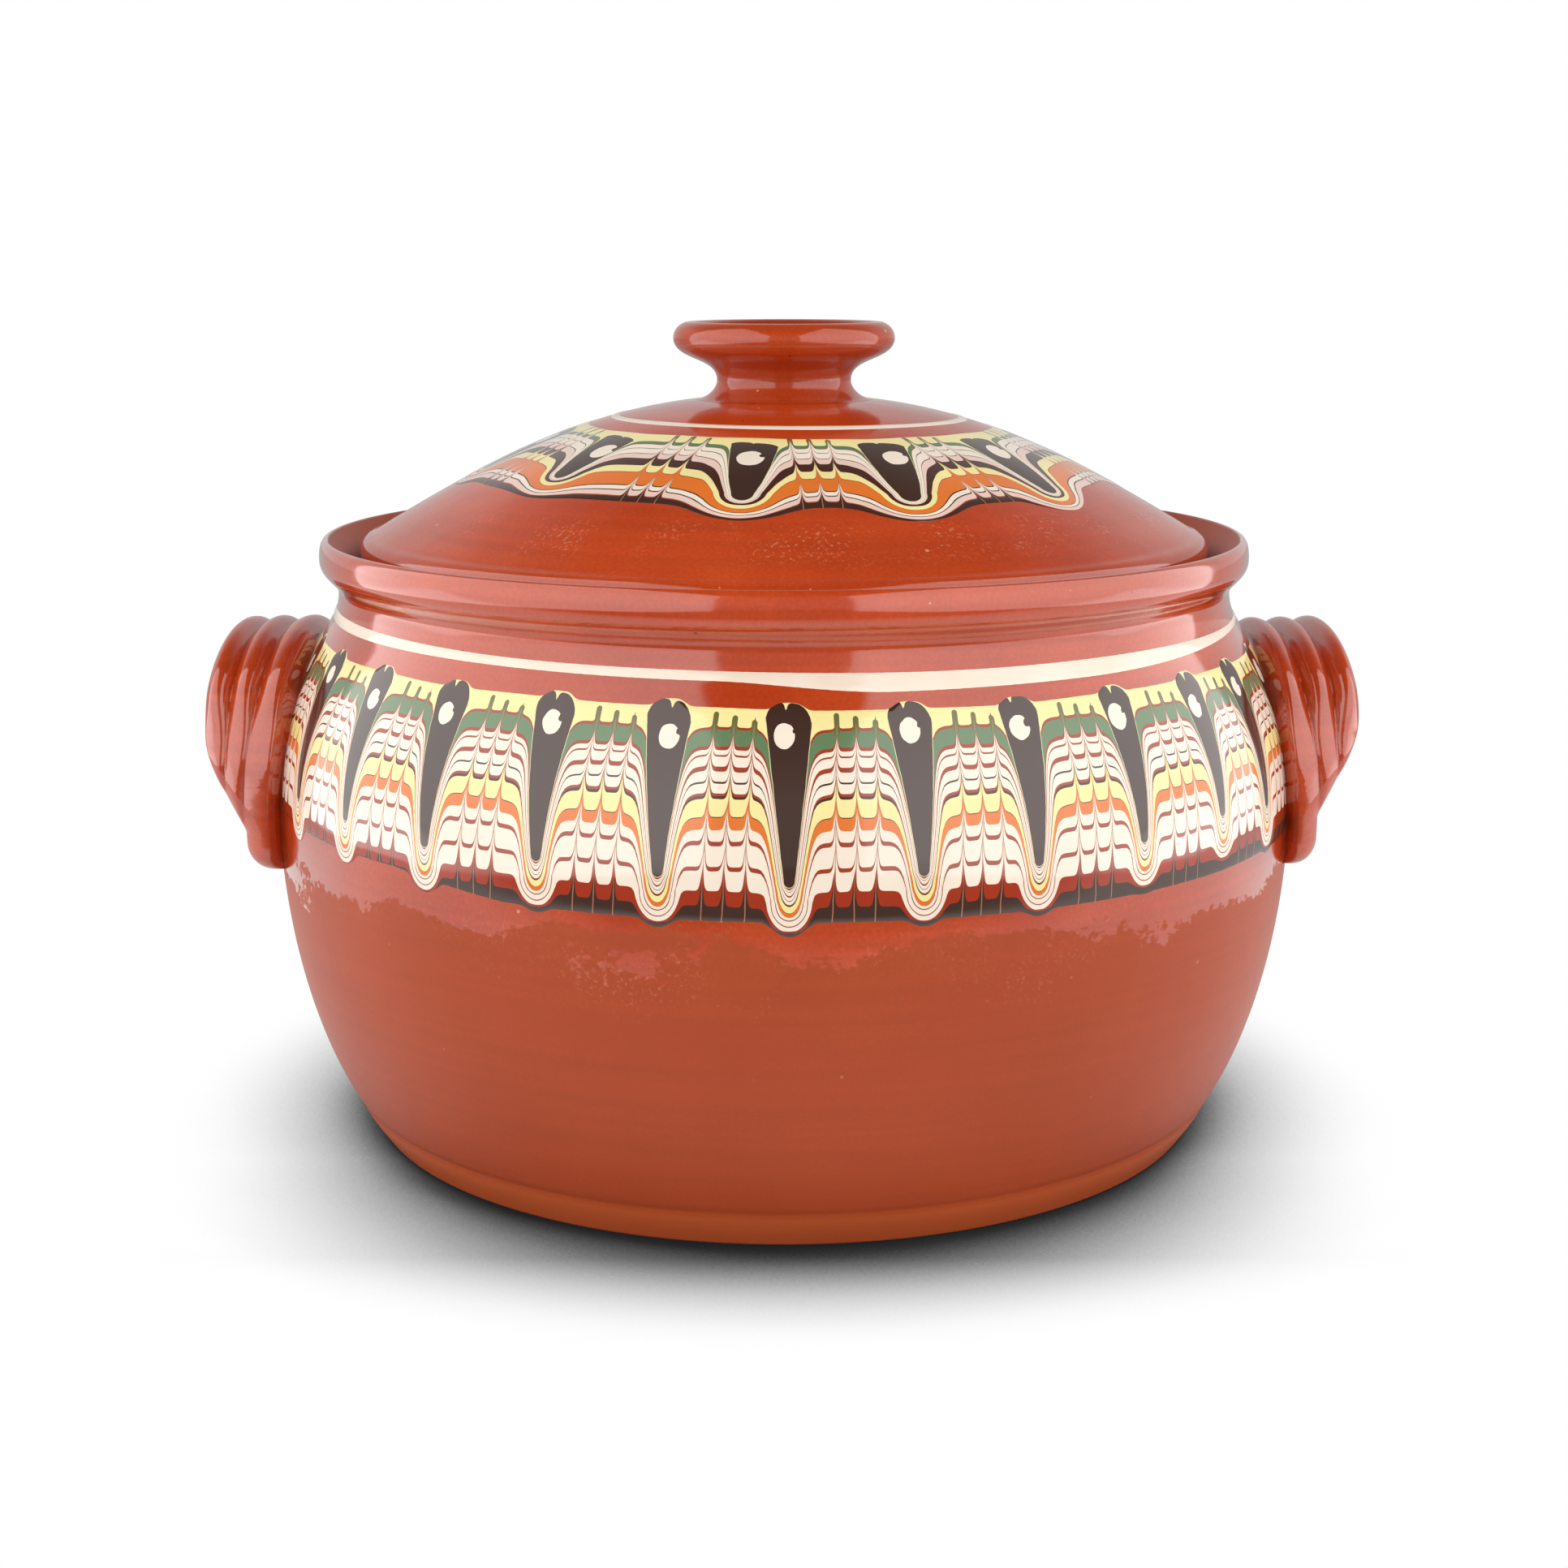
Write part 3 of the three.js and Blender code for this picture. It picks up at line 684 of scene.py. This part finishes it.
def comb_strokes(tree, band, comb, wander):
    """Distance to the nearest of the three comb strokes in a cell, in millimetres, and which it is: -1, 0 or
    1. The cells' map holds the number of the cell with its share, and the cell's width."""
    cells = node(tree, "SeparateXYZ", [node(tree, "UVMap", uv_map="cells")]).outputs
    along = node(tree, "Math:FRACT", [cells["X"]])
    along = node(tree, "Math:SUBTRACT", [along, comb])
    along = node(tree, "Math:MULTIPLY", [along, cells["Y"]])
    along = node(tree, "Math:MULTIPLY_ADD", [wander, 1.5, along])
    which = node(tree, "Math:MULTIPLY", [along, 1 / band["comb"]])
    which = node(tree, "Clamp", [node(tree, "Math:ROUND", [which]), -1.0, 1.0])
    stroke = node(tree, "Math:MULTIPLY_ADD", [which, -band["comb"], along])
    return node(tree, "Math:ABSOLUTE", [stroke]), which


def combed_depth(tree, band, stripe, stroke, wander):
    """Stripe depth after combing: a stroke pulls the stripes up in a cusp by lift * exp(-(d / width) ^ 1.25)
    at a distance d. Only in the thin middle of a stroke may the depth pass the last stripe."""
    spike = node(tree, "Math:MULTIPLY", [stroke, 1 / band["stroke"]])
    spike = node(tree, "Math:POWER", [spike, CUSP_POWER])
    spike = node(tree, "Math:POWER", [math.exp(-1), spike])
    lift = node(tree, "MapRange", [stripe, 3.0, band["depth"], *band["lift"]])
    depth = node(tree, "Math:MULTIPLY_ADD", [spike, lift, stripe])
    depth = node(tree, "Math:MULTIPLY_ADD", [wander, 1.2, depth])
    most = node(tree, "MapRange", [stroke, 0.05, 0.11, band["depth"] * PAST_DEPTH, band["depth"] - 0.1])
    return node(tree, "Math:MINIMUM", [depth, most])


def olive_fingers(tree, band, stripe, depth, stroke, which):
    """One inside the olive fingers that the comb draws up out of the green: round-ended bars, each starting
    a little lower than the one to its left."""
    middle = band["finger"] + FINGER_STEP + FINGER_HALF
    begins = node(tree, "Math:MULTIPLY_ADD", [which, FINGER_STEP, middle])
    over = node(tree, "Math:SUBTRACT", [begins, stripe])
    over = node(tree, "Math:MAXIMUM", [over, 0.0])
    away = node(tree, "VectorMath:LENGTH", [node(tree, "CombineXYZ", [stroke, over])])
    finger = node(tree, "Math:LESS_THAN", [away, FINGER_HALF])
    upper = node(tree, "Math:LESS_THAN", [depth, band["green_end"]])
    return node(tree, "Math:MULTIPLY", [finger, upper])


def stripe_colour(tree, band, depth, finger):
    """Slip of the stripe at a depth, or olive in a finger, from a stepped ramp over all the depths."""
    depth = node(tree, "Math:MAXIMUM", [depth, 0.0])
    depth = node(tree, "Mix", {0: finger, 2: depth, 3: OLIVE_DEPTH})
    span = band["depth"] * PAST_DEPTH - LEAST_DEPTH
    steps = ((LEAST_DEPTH, OLIVE), *band["stripes"])
    stops = [((at - LEAST_DEPTH) / span, linear(slip)) for at, slip in steps]
    share = node(tree, "Math:MULTIPLY_ADD", [depth, 1 / span, -LEAST_DEPTH / span])
    colour = node(tree, "ValToRGB", [share], stops=stops)
    colour.color_ramp.interpolation = "CONSTANT"
    return colour


def feathered_slip(name, band):
    """Slips of several colours combed into each other while wet, under the clay's clear glaze. Depth in the
    stripes picks the colour, and each stroke leaves a thin thread. Over them lie dark drops with a pale
    outline and a cream dot, wavy by grains of 3 mm, and faint clouds of 20 mm."""
    material, tree = new_material(name)
    place = node(tree, "TexCoord").outputs["Object"]
    read = [node(tree, "Attribute", attribute_name=field).outputs["Fac"] for field in FIELDS]
    stripe, edge, dot, comb = read
    wander = waver(tree, place, 14)
    stroke, which = comb_strokes(tree, band, comb, wander)
    depth = combed_depth(tree, band, stripe, stroke, wander)
    finger = olive_fingers(tree, band, stripe, depth, stroke, which)
    colour = stripe_colour(tree, band, depth, finger)
    thread = node(tree, "Math:LESS_THAN", [stroke, THREAD_HALF])
    combed = node(tree, "Math:GREATER_THAN", [stripe, band["green_end"] - 3])
    thread = node(tree, "Math:MULTIPLY", [thread, combed])
    thread = node(tree, "Math:MULTIPLY", [thread, THREAD_SHARE])
    colour = node(tree, "Mix:RGBA", {0: thread, 6: colour, 7: linear(THREAD)})
    fuzz = waver(tree, place, 3)
    layers = (edge, 0.3, OUTLINE, PALE), (edge, 0.3, 0, INK), (dot, 0.6, 0, CREAM)
    for field, amount, reach, slip in layers:
        outside = node(tree, "Math:MULTIPLY_ADD", [fuzz, amount, field])
        inside = node(tree, "Math:LESS_THAN", [outside, reach])
        colour = node(tree, "Mix:RGBA", {0: inside, 6: colour, 7: linear(slip)})
    clouds = node(tree, "TexNoise", {"Vector": place, "Scale": per(20), "Detail": 4.0})
    clouds = node(tree, "MapRange", [clouds, 0.25, 0.75, 0.93, 1.03])
    slip_shader(tree, place, node(tree, "VectorMath:MULTIPLY", [colour, clouds]), 0.09)
    return material


# Layers of slip on the wall and the dome

SLIP_PROUD, SLIP_SINK, SLIP_EDGE = 0.22, 0.06, 0.6
SLIP_SHARP = 60
RING_ROWS, RING_SWELL = 13, 0.06
MAP_MARGIN, MAP_CORNER = 0.004, 0.002
MAP_FACE, MAP_BACK = (0.12, 0.97), (0.02, 0.09)
CROWDING = 0.09
SWELL_RADIUS, SWELL_HALF = 131.0, 3.9
LADDER_HIGH, LADDER_LOW, LADDER_RUNGS = 10, 9, 160


def slip_rise(below_top, above_bottom):
    """Height of a slip layer over the clay: it swells by 1 - exp(-d / 0.6) with the distance d from its
    edge, and starts a little under the clay, so that its edge is a clean line."""
    return SLIP_PROUD * (1 - np.exp(-np.minimum(below_top, above_bottom) / SLIP_EDGE)) - SLIP_SINK


def strip_map(rows, columns, lines):
    """Bake map of a layer's faces, cut into lines that lie over each other. Each line shows the layer's face
    and, as a narrow stripe below it, the layer's back."""
    column = np.arange(columns - 1)
    per_line = math.ceil((columns - 1) / lines)
    line = column // per_line
    wide = (1 - 2 * MAP_MARGIN) / per_line
    left = MAP_MARGIN + wide * (column - line * per_line)
    up = np.linspace(*MAP_FACE, rows)
    low, high = np.append(up[:-1], MAP_BACK[0]), np.append(up[1:], MAP_BACK[1])
    u = np.stack([left, left + wide, left + wide, left], -1)
    v = np.stack([low, low, high, high], -1)[:, None, :] + line[None, :, None]
    return np.stack([np.broadcast_to(u, v.shape), v / lines], -1).reshape(-1, 2)


def slip_piece(name, points, material, fields, lines):
    """Closed layer of slip: the grid's rows run up its face, one row of faces closes its back, and both ends
    are capped. The fields become attributes, but for the cells, which fill a map of their own."""
    rows, columns = points.shape[:2]
    index = np.arange(rows * columns).reshape(rows, columns)
    loop = np.vstack([index, index[:1]])
    faces = quads(loop).tolist() + [index[:, 0].tolist(), index[::-1, -1].tolist()]
    made = piece(name, points.reshape(-1, 3), faces, material, SLIP_SHARP)
    mesh = made.data
    for field in FIELDS:
        values = fields[field].astype(np.float32).ravel()
        mesh.attributes.new(field, "FLOAT", "POINT").data.foreach_set("value", values)
    corner = np.empty(len(mesh.loops), np.int32)
    mesh.loops.foreach_get("vertex_index", corner)
    cell_map = np.stack([fields["cell"].ravel()[corner], fields["gap"].ravel()[corner]], -1)
    strip = strip_map(rows, columns, lines)
    bake_map = np.full((len(corner), 2), MAP_CORNER)
    bake_map[:len(strip)] = strip
    for map_name, places in (("cells", cell_map), ("OFBake", bake_map)):
        mesh.uv_layers.new(name=map_name).data.foreach_set("uv", places.astype(np.float32).ravel())
    return made


def at_depth(band, down):
    """Profile points and outward normals on the band's surface at depths from its top."""
    return band["surface"](band["top"] + band["way"] * down)


def upper_edge(band, drops, turn):
    """Depth of the band's upper edge: two slow waves, and a swell over each drop by exp(-(d / 3.9) ^ 4)."""
    nearest = np.min(np.abs((turn.T - drops["angle"] + 180) % 360 - 180), axis=1)
    swell = band["swell"] * np.exp(-(np.radians(nearest) * SWELL_RADIUS / SWELL_HALF) ** 4)
    waves = 0.2 * np.sin(np.radians(5 * turn)) + 0.12 * np.sin(np.radians(17 * turn + 40))
    return waves + band["start"] - swell


def lower_edge(band, drops, turn, drift):
    """Depth where the stripes end at each angle, lower under each drop: found on a ladder of depths and set
    between two rungs. Towards one side the last stripe thins out."""
    trial = np.linspace(band["depth"] - LADDER_HIGH, band["depth"] + LADDER_LOW, LADDER_RUNGS)[:, None]
    radius = at_depth(band, trial + drift)[0][..., 0]
    depth = feathered(band, drops, turn, radius, trial + 0 * turn)["stripe"]
    side, begins, full, amount = band["thin"]
    aside = side * turn[0]
    thinned = np.clip((aside - begins) / (full - begins), 0, 1) * np.clip((100 - aside) / 20, 0, 1)
    ends = band["depth"] - amount * thinned
    passed = np.argmax(depth >= ends, axis=0)
    each = np.arange(turn.size)
    before, after = depth[passed - 1, each], depth[passed, each]
    rung = trial[1, 0] - trial[0, 0]
    return trial[passed, 0] - rung * (after - ends) / (after - before)


def feathered_band(name, start, end, band, drops, material):
    """Patterned slip between two angles in degrees from the front. Columns crowd at the drops: each cell
    number c becomes c - 0.09 sin(2 pi c). Rows run evenly from the lower to the upper edge."""
    columns, rows, lines = band["mesh"]
    order, number = cells_round(drops["angle"])
    cell = np.linspace(*np.interp((start, end), order, number), columns)
    turn = np.interp(cell - CROWDING * np.sin(TURN * cell), number, order)[None, :]
    around = np.radians(turn)
    drift = band["drift"] * np.sin(around)
    lowest, highest = lower_edge(band, drops, turn, drift), upper_edge(band, drops, turn)
    share = np.linspace(0, 1, rows)[:, None]
    down = lowest * (1 - share) + highest * share
    base, out = at_depth(band, down + drift)
    rise = slip_rise(down - highest, lowest - down)
    radius, z = np.moveaxis(base + rise[..., None] * out, -1, 0)
    points = np.stack([radius * np.sin(around), -radius * np.cos(around), z], -1)
    fields = feathered(band, drops, turn, base[..., 0], down)
    return slip_piece(name, points, material, fields, lines)


def slip_ring(name, start, end, surface):
    """Thin line of cream slip right round, between edges given at even steps of angle, in the order that runs
    up the outside. It swells between them by a half sine."""
    share = np.linspace(0, 1, RING_ROWS)[:, None]
    at = start + (end - start) * share
    rise = slip_rise(np.abs(end - at), np.abs(at - start)) + RING_SWELL * np.sin(math.pi * share)
    base, out = surface(at)
    radius, z = np.moveaxis(base + rise[..., None] * out, -1, 0)
    around = np.linspace(0, TURN, len(start), endpoint=False)
    points = np.stack([radius * np.cos(around), radius * np.sin(around), z], -1).reshape(-1, 3)
    index = np.arange(radius.size).reshape(radius.shape)
    index = np.vstack([index, index[:1]])
    index = np.hstack([index, index[:, :1]])
    return piece(name, points, quads(index).tolist(), CREAM_SLIP, SLIP_SHARP)


# Pot body

GALLERY_Z = 158.0
GALLERY_EDGE = 110.5
FLOOR_TOP = 9.0
GROOVE_DEEP, GROOVE_Z, GROOVE_HALF = 0.45, 10.6, 0.8
POT_SEGMENTS = 240


def pot_profile():
    """Half section of the pot: base, foot, wall, rolled rim, gallery, inside and floor. Over the foot is a
    fine groove, 0.45 exp(-((z - 10.6) / 0.8)^2) deep."""
    base_edge, foot_edge = (118.3, 0), (119.8, 0.8)
    widest, crest, seat = (130.2, 161.0), (127.9, POT_HEIGHT), (120.5, GALLERY_Z)
    ledge, lip, under = (111.1, GALLERY_Z), (GALLERY_EDGE, 157.4), (GALLERY_EDGE, 154.0)
    inside_high, inside_low = 136.3, 17.0
    z = np.linspace(FOOT[1], NECK[1], 168)
    groove = GROOVE_DEEP * np.exp(-((z - GROOVE_Z) / GROOVE_HALF) ** 2)
    wall = np.stack([wall_radius(z) - groove, z], -1)
    inner_z = np.linspace(inside_high, inside_low, 48)
    inner = np.stack([wall_radius(inner_z) - WALL, inner_z], -1)
    floor_edge = (inner[-1, 0] - 16, FLOOR_TOP)
    return joined(
        straight((0, 0), base_edge, 8),
        bend(base_edge, foot_edge, (0.5, 0), (0.9, 0.5), 3),
        bend(foot_edge, FOOT, (0.33, 0.3), (0.8, 0.62), 8),
        wall,
        bend(NECK, widest, (0.2, 0.4), (1, 0.5), 16),
        bend(widest, crest, (0, 0.6), (0.3, 1), 10),
        bend(crest, seat, (0.2, 0.12), (0.66, 0.56), 12),
        straight(seat, ledge, 5),
        bend(ledge, lip, (0.6, 0), (1, 0.4), 3),
        straight(lip, under, 3),
        bend(under, inner[0], (0, 0.35), (0.5, 0.7), 14),
        inner,
        bend(inner[-1], floor_edge, (0.2, 0.7), (0.5, 1), 10),
        straight(floor_edge, (0, FLOOR_TOP), 8),
    )


def pot_line():
    """Edges of the cream line round the shoulder at even steps of angle: it sits off centre, wavers a little
    and is wider at the front right, where its tail overlaps its start."""
    around = np.linspace(0, TURN, 360, endpoint=False)
    from_front = (np.degrees(around) + 270) % 360 - 180
    tail = smooth((from_front + 8) / 20) * (1 - smooth((from_front - 35) / 45))
    low = 144.6 - 0.4 * np.cos(around) - 2.5 * tail + 0.1 * np.sin(5 * around)
    high = 146.85 - 1.1 * np.cos(around) + 0.1 * np.sin(7 * around + 1)
    return low, high


pot_body = turned("pot_body_clay", pot_profile(), POT_SEGMENTS, POT_CLAY)
pot_ring = slip_ring("pot_slip_line", *pot_line(), on_wall)
pot_drops = laid_drops(POT_DROP_ANGLES, POT_DROPS, 5, POT_SEEN)
POT_FEATHERED = feathered_slip("feathered_slip_pot", POT_BAND)
band_front, band_back = (
    feathered_band(f"pot_slip_feathered_{where}", start, start + 180, POT_BAND, pot_drops, POT_FEATHERED)
    for where, start in (("front", -90), ("back", 90))
)


# Lid and knob

LID_SEGMENTS, KNOB_SEGMENTS = 240, 144
KNOB_GAP = 0.02


def lid_profile():
    """Half section of the lid: hollow underside, flat flange, rounded edge and the dome up to the crown."""
    flange, underside = (109.9, LID_Z), CROWN[1] - LID_WALL
    corner = (LID_RADIUS - 2.2, LID_Z)
    edge_low, edge_high = (LID_RADIUS, LID_Z + 2.2), (LID_RADIUS, LID_Z + 4.9)
    top, out = on_dome(np.linspace(24, flange[0], 60))
    hollow = top - LID_WALL * out
    hollow = hollow[hollow[:, 1] > LID_Z + 0.4]
    dome = on_dome(np.linspace(DOME_EDGE[0], CROWN[0], 110))[0][3:]
    return joined(
        straight((0, underside), (22, underside), 5),
        hollow,
        flange,
        straight(flange, corner, 4),
        bend(corner, edge_low, (0.55, 0), (1, 0.45), 6),
        straight(edge_low, edge_high, 3),
        bend(edge_high, dome[0], (0, 0.6), (0.4, 0.85), 8),
        dome,
        straight(CROWN, (0, CROWN[1]), 6),
    )


def knob_profile():
    """Half section of the knob: spreading foot, waisted neck, rolled brim and a cup in the top."""
    bottom = CROWN[1] + KNOB_GAP
    foot, neck = (24.5, bottom), (18.8, bottom + 5.4)
    brim, crest, cup = (31.0, bottom + 17), (26.5, bottom + 21.4), (0.0, bottom + 10.4)
    return joined(
        straight((0, bottom), foot, 4),
        bend(foot, neck, (0.6, 0.1), (1, 0.6), 14),
        bend(neck, brim, (0, 0.55), (1, 0.45), 26),
        bend(brim, crest, (0, 0.55), (0.5, 1), 14),
        bend(crest, cup, (0.2, 0), (0.35, 1), 26),
    )


def lid_line():
    """Edges of the thin cream line on the lid at even steps of angle, the outer one first: a ring that sits
    off centre and wavers a little."""
    around = np.linspace(0, TURN, 300, endpoint=False)
    inner = 47.5 + 1.4 * np.cos(around) + 0.15 * np.sin(2 * around + 0.6) + 0.08 * np.sin(6 * around)
    outer = 50.4 + 1.4 * np.cos(around) + 0.2 * np.sin(2 * around - 1.1) + 0.1 * np.sin(5 * around + 2)
    return outer, inner


lid_dome = turned("lid_clay", lid_profile(), LID_SEGMENTS, LID_CLAY)
lid_knob = turned("knob_clay", knob_profile(), KNOB_SEGMENTS, KNOB_CLAY)
lid_ring = slip_ring("lid_slip_line", *lid_line(), on_dome)
lid_drops = laid_drops(LID_DROP_ANGLES, LID_DROPS, 11, LID_SEEN)
LID_FEATHERED = feathered_slip("feathered_slip_lid", LID_BAND)
lid_parts = [
    feathered_band(f"lid_slip_feathered_{where}", start, start + 120, LID_BAND, lid_drops, LID_FEATHERED)
    for where, start in (("front", -60), ("right", 60), ("left", 180))
]


# Handles

HANDLE_WIDTH = 98.0
LEG_HEIGHT = 26.0
STRAP_THICKNESS = 10.0
STRAP_RIBS = 3
THUMB_ROUND = 7.0
FLARE_HEIGHT = 28.0
EDGE_ROUND = 3.2
RIB_DEPTH = 2.6
LEG_GROOVE = 1.3
LEG_SLOPE = 0.4
CREST_SHIFT = 0.3
ROOT_DEPTH = 5.0
HANDLE_SHARP = 70

# Height of the top, height of the whole, the thumb's width and height, reach from the axis, and slope
RIGHT_HANDLE = (140.3, 60.5, 8.8, 13.0, 157.0, -0.04)
LEFT_HANDLE = (141.1, 62.9, 10.1, 10.2, 158.2, 0.03)


def there_and_back(half):
    """Values along one leg and half the arch, then the same back down the other side."""
    return np.hstack([half, half[-2::-1]])


def strap_path(top, height):
    """Middle line (y, z) of a strap, up a straight leg, over a cubic arch and down the other leg, and its
    share of full thickness, which rounds off like a circle at the lower end of each leg."""
    foot_z = top - height
    half = (HANDLE_WIDTH - STRAP_THICKNESS) / 2
    arch = bend((-half, foot_z + LEG_HEIGHT), (0, top - STRAP_THICKNESS / 2), (0, 0.72), (0.41, 1), 400)
    run = np.hstack([[0], np.cumsum(np.hypot(*np.diff(arch, axis=0).T))])
    leg = LEG_HEIGHT * np.linspace(0.012, 1, 40, endpoint=False) ** 1.5
    rise = np.linspace(0, run[-1], 64)
    y = np.hstack([np.full(len(leg), -half), np.interp(rise, run, arch[:, 0])])
    z = np.hstack([foot_z + leg, np.interp(rise, run, arch[:, 1])])
    full = np.hstack([1 - (1 - np.minimum(leg / THUMB_ROUND, 1)) ** 2, np.ones(len(rise))]) ** 0.5
    return np.hstack([y, -y[-2::-1]]), there_and_back(z), there_and_back(full)[:, None]


def rib_fall(x, wall_x, thumb_width, reach, lean, arch):
    """How far the strap's face lies below its crests. From its crest each rib falls off as a power of the
    distance. On the legs the crests lie nearer the wall and the outer ribs slope back outwards."""
    groove = wall_x + thumb_width
    outer_ribs = 1 + (STRAP_RIBS - 1) * (x - groove) / (reach - groove)
    rib = np.where(x < groove, (x - wall_x) / thumb_width, outer_ribs)
    across = 2 * (rib - np.minimum(np.floor(rib), STRAP_RIBS - 1)) - 1
    crest = -CREST_SHIFT * (1 - arch)
    inward = np.clip((crest - across) / (1 + crest), 0, 1) ** 2 * np.where(rib < 0.5, 1.6, 1.0)
    outward = np.clip((across - crest) / (1 - crest), 0, 1) ** (1.7 + 0.3 * arch)
    depth = LEG_GROOVE + (RIB_DEPTH - LEG_GROOVE) * np.where(rib < 1, 1.0, arch)
    slope = lean + (LEG_SLOPE - lean) * (1 - arch)
    return RIB_DEPTH - depth + depth * (inward + outward) + slope * np.maximum(x - groove, 0)


def handle(name, side, top, height, thumb_width, thumb_height, reach, lean):
    """Pulled strap of three ribs bent into an arch and set edgewise on the wall. The rib by the wall runs
    down to the thumb's end; the rounded outer edge curves in and cuts the others off above it. Each section
    runs out along the ribbed face and back along the plain underside."""
    y, z, full = strap_path(top, height)
    along = np.stack([np.gradient(y), np.gradient(z)], -1)
    along /= np.linalg.norm(along, axis=1, keepdims=True)
    arch = smooth((np.abs(along[:, :1]) - 0.2) / 0.6)
    wall_x = np.sqrt(wall_radius(z) ** 2 - y ** 2)[:, None]
    flare = np.clip((z - top + height - thumb_height) / FLARE_HEIGHT, 0, 1)[:, None]
    flare = 1 - (1 - flare ** 1.35) ** 2.2
    thumb = thumb_width * (0.25 + 0.75 * full)
    outer = wall_x + thumb + (reach - wall_x - thumb) * flare
    deep = STRAP_THICKNESS / 2 * full
    face_x = wall_x + (outer - wall_x) * np.linspace(0, 1, 100)[None, :] ** 0.9
    face_n = deep - rib_fall(face_x, wall_x, thumb_width, reach, lean, arch) * full
    root_x = wall_x - ROOT_DEPTH
    back = np.hstack([np.linspace(1, 0.75, 12)[1:] ** 0.5, np.linspace(0.8, 0, 8)])[None, :]
    back_x = root_x + (outer - root_x) * back
    x = np.hstack([root_x, face_x, back_x])
    n = np.hstack([face_n[:, :1] - 1, face_n, np.broadcast_to(-deep, back_x.shape)])
    middle = (face_n[:, -1:] - deep) / 2
    edge = EDGE_ROUND * (1.8 - 0.8 * flare)
    n = middle + (n - middle) * np.sqrt(1 - np.clip((x - outer + edge) / edge, 0, 1) ** 2)
    points = np.stack([x, y[:, None] - n * along[:, 1:], z[:, None] + n * along[:, :1]], -1)
    if side < 0:
        points = points * (-1, -1, 1)
    index = np.arange(x.size).reshape(x.shape)
    loop = np.hstack([index, index[:, :1]])
    faces = quads(loop).tolist() + [index[0][::-1].tolist(), index[-1].tolist()]
    return piece(name, points.reshape(-1, 3), faces, HANDLE_CLAY, HANDLE_SHARP)


handle_right = handle("handle_right_clay", 1, *RIGHT_HANDLE)
handle_left = handle("handle_left_clay", -1, *LEFT_HANDLE)


# What each piece rides on, the node it replaces and its slot

for made, body, cad_node, slot in (
    (pot_body, "pot", "pot_body", "terracotta"),
    (pot_ring, "pot", "pot_slip_ring", "cream_slip"),
    (band_front, "pot", "pot_slip_band_front", "feathered_slip"),
    (band_back, "pot", "pot_slip_band_back", "feathered_slip"),
    (lid_dome, "lid", "lid_dome", "glazed_terracotta"),
    (lid_knob, "lid", "lid_knob", "glazed_terracotta"),
    (lid_ring, "lid", "lid_slip_ring", "cream_slip"),
    *((part, "lid", "lid_slip_band", "feathered_slip") for part in lid_parts),
    (handle_right, "pot", "handle_right", "glazed_terracotta"),
    (handle_left, "pot", "handle_left", "glazed_terracotta"),
):
    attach(made, body)
    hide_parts(cad_node)
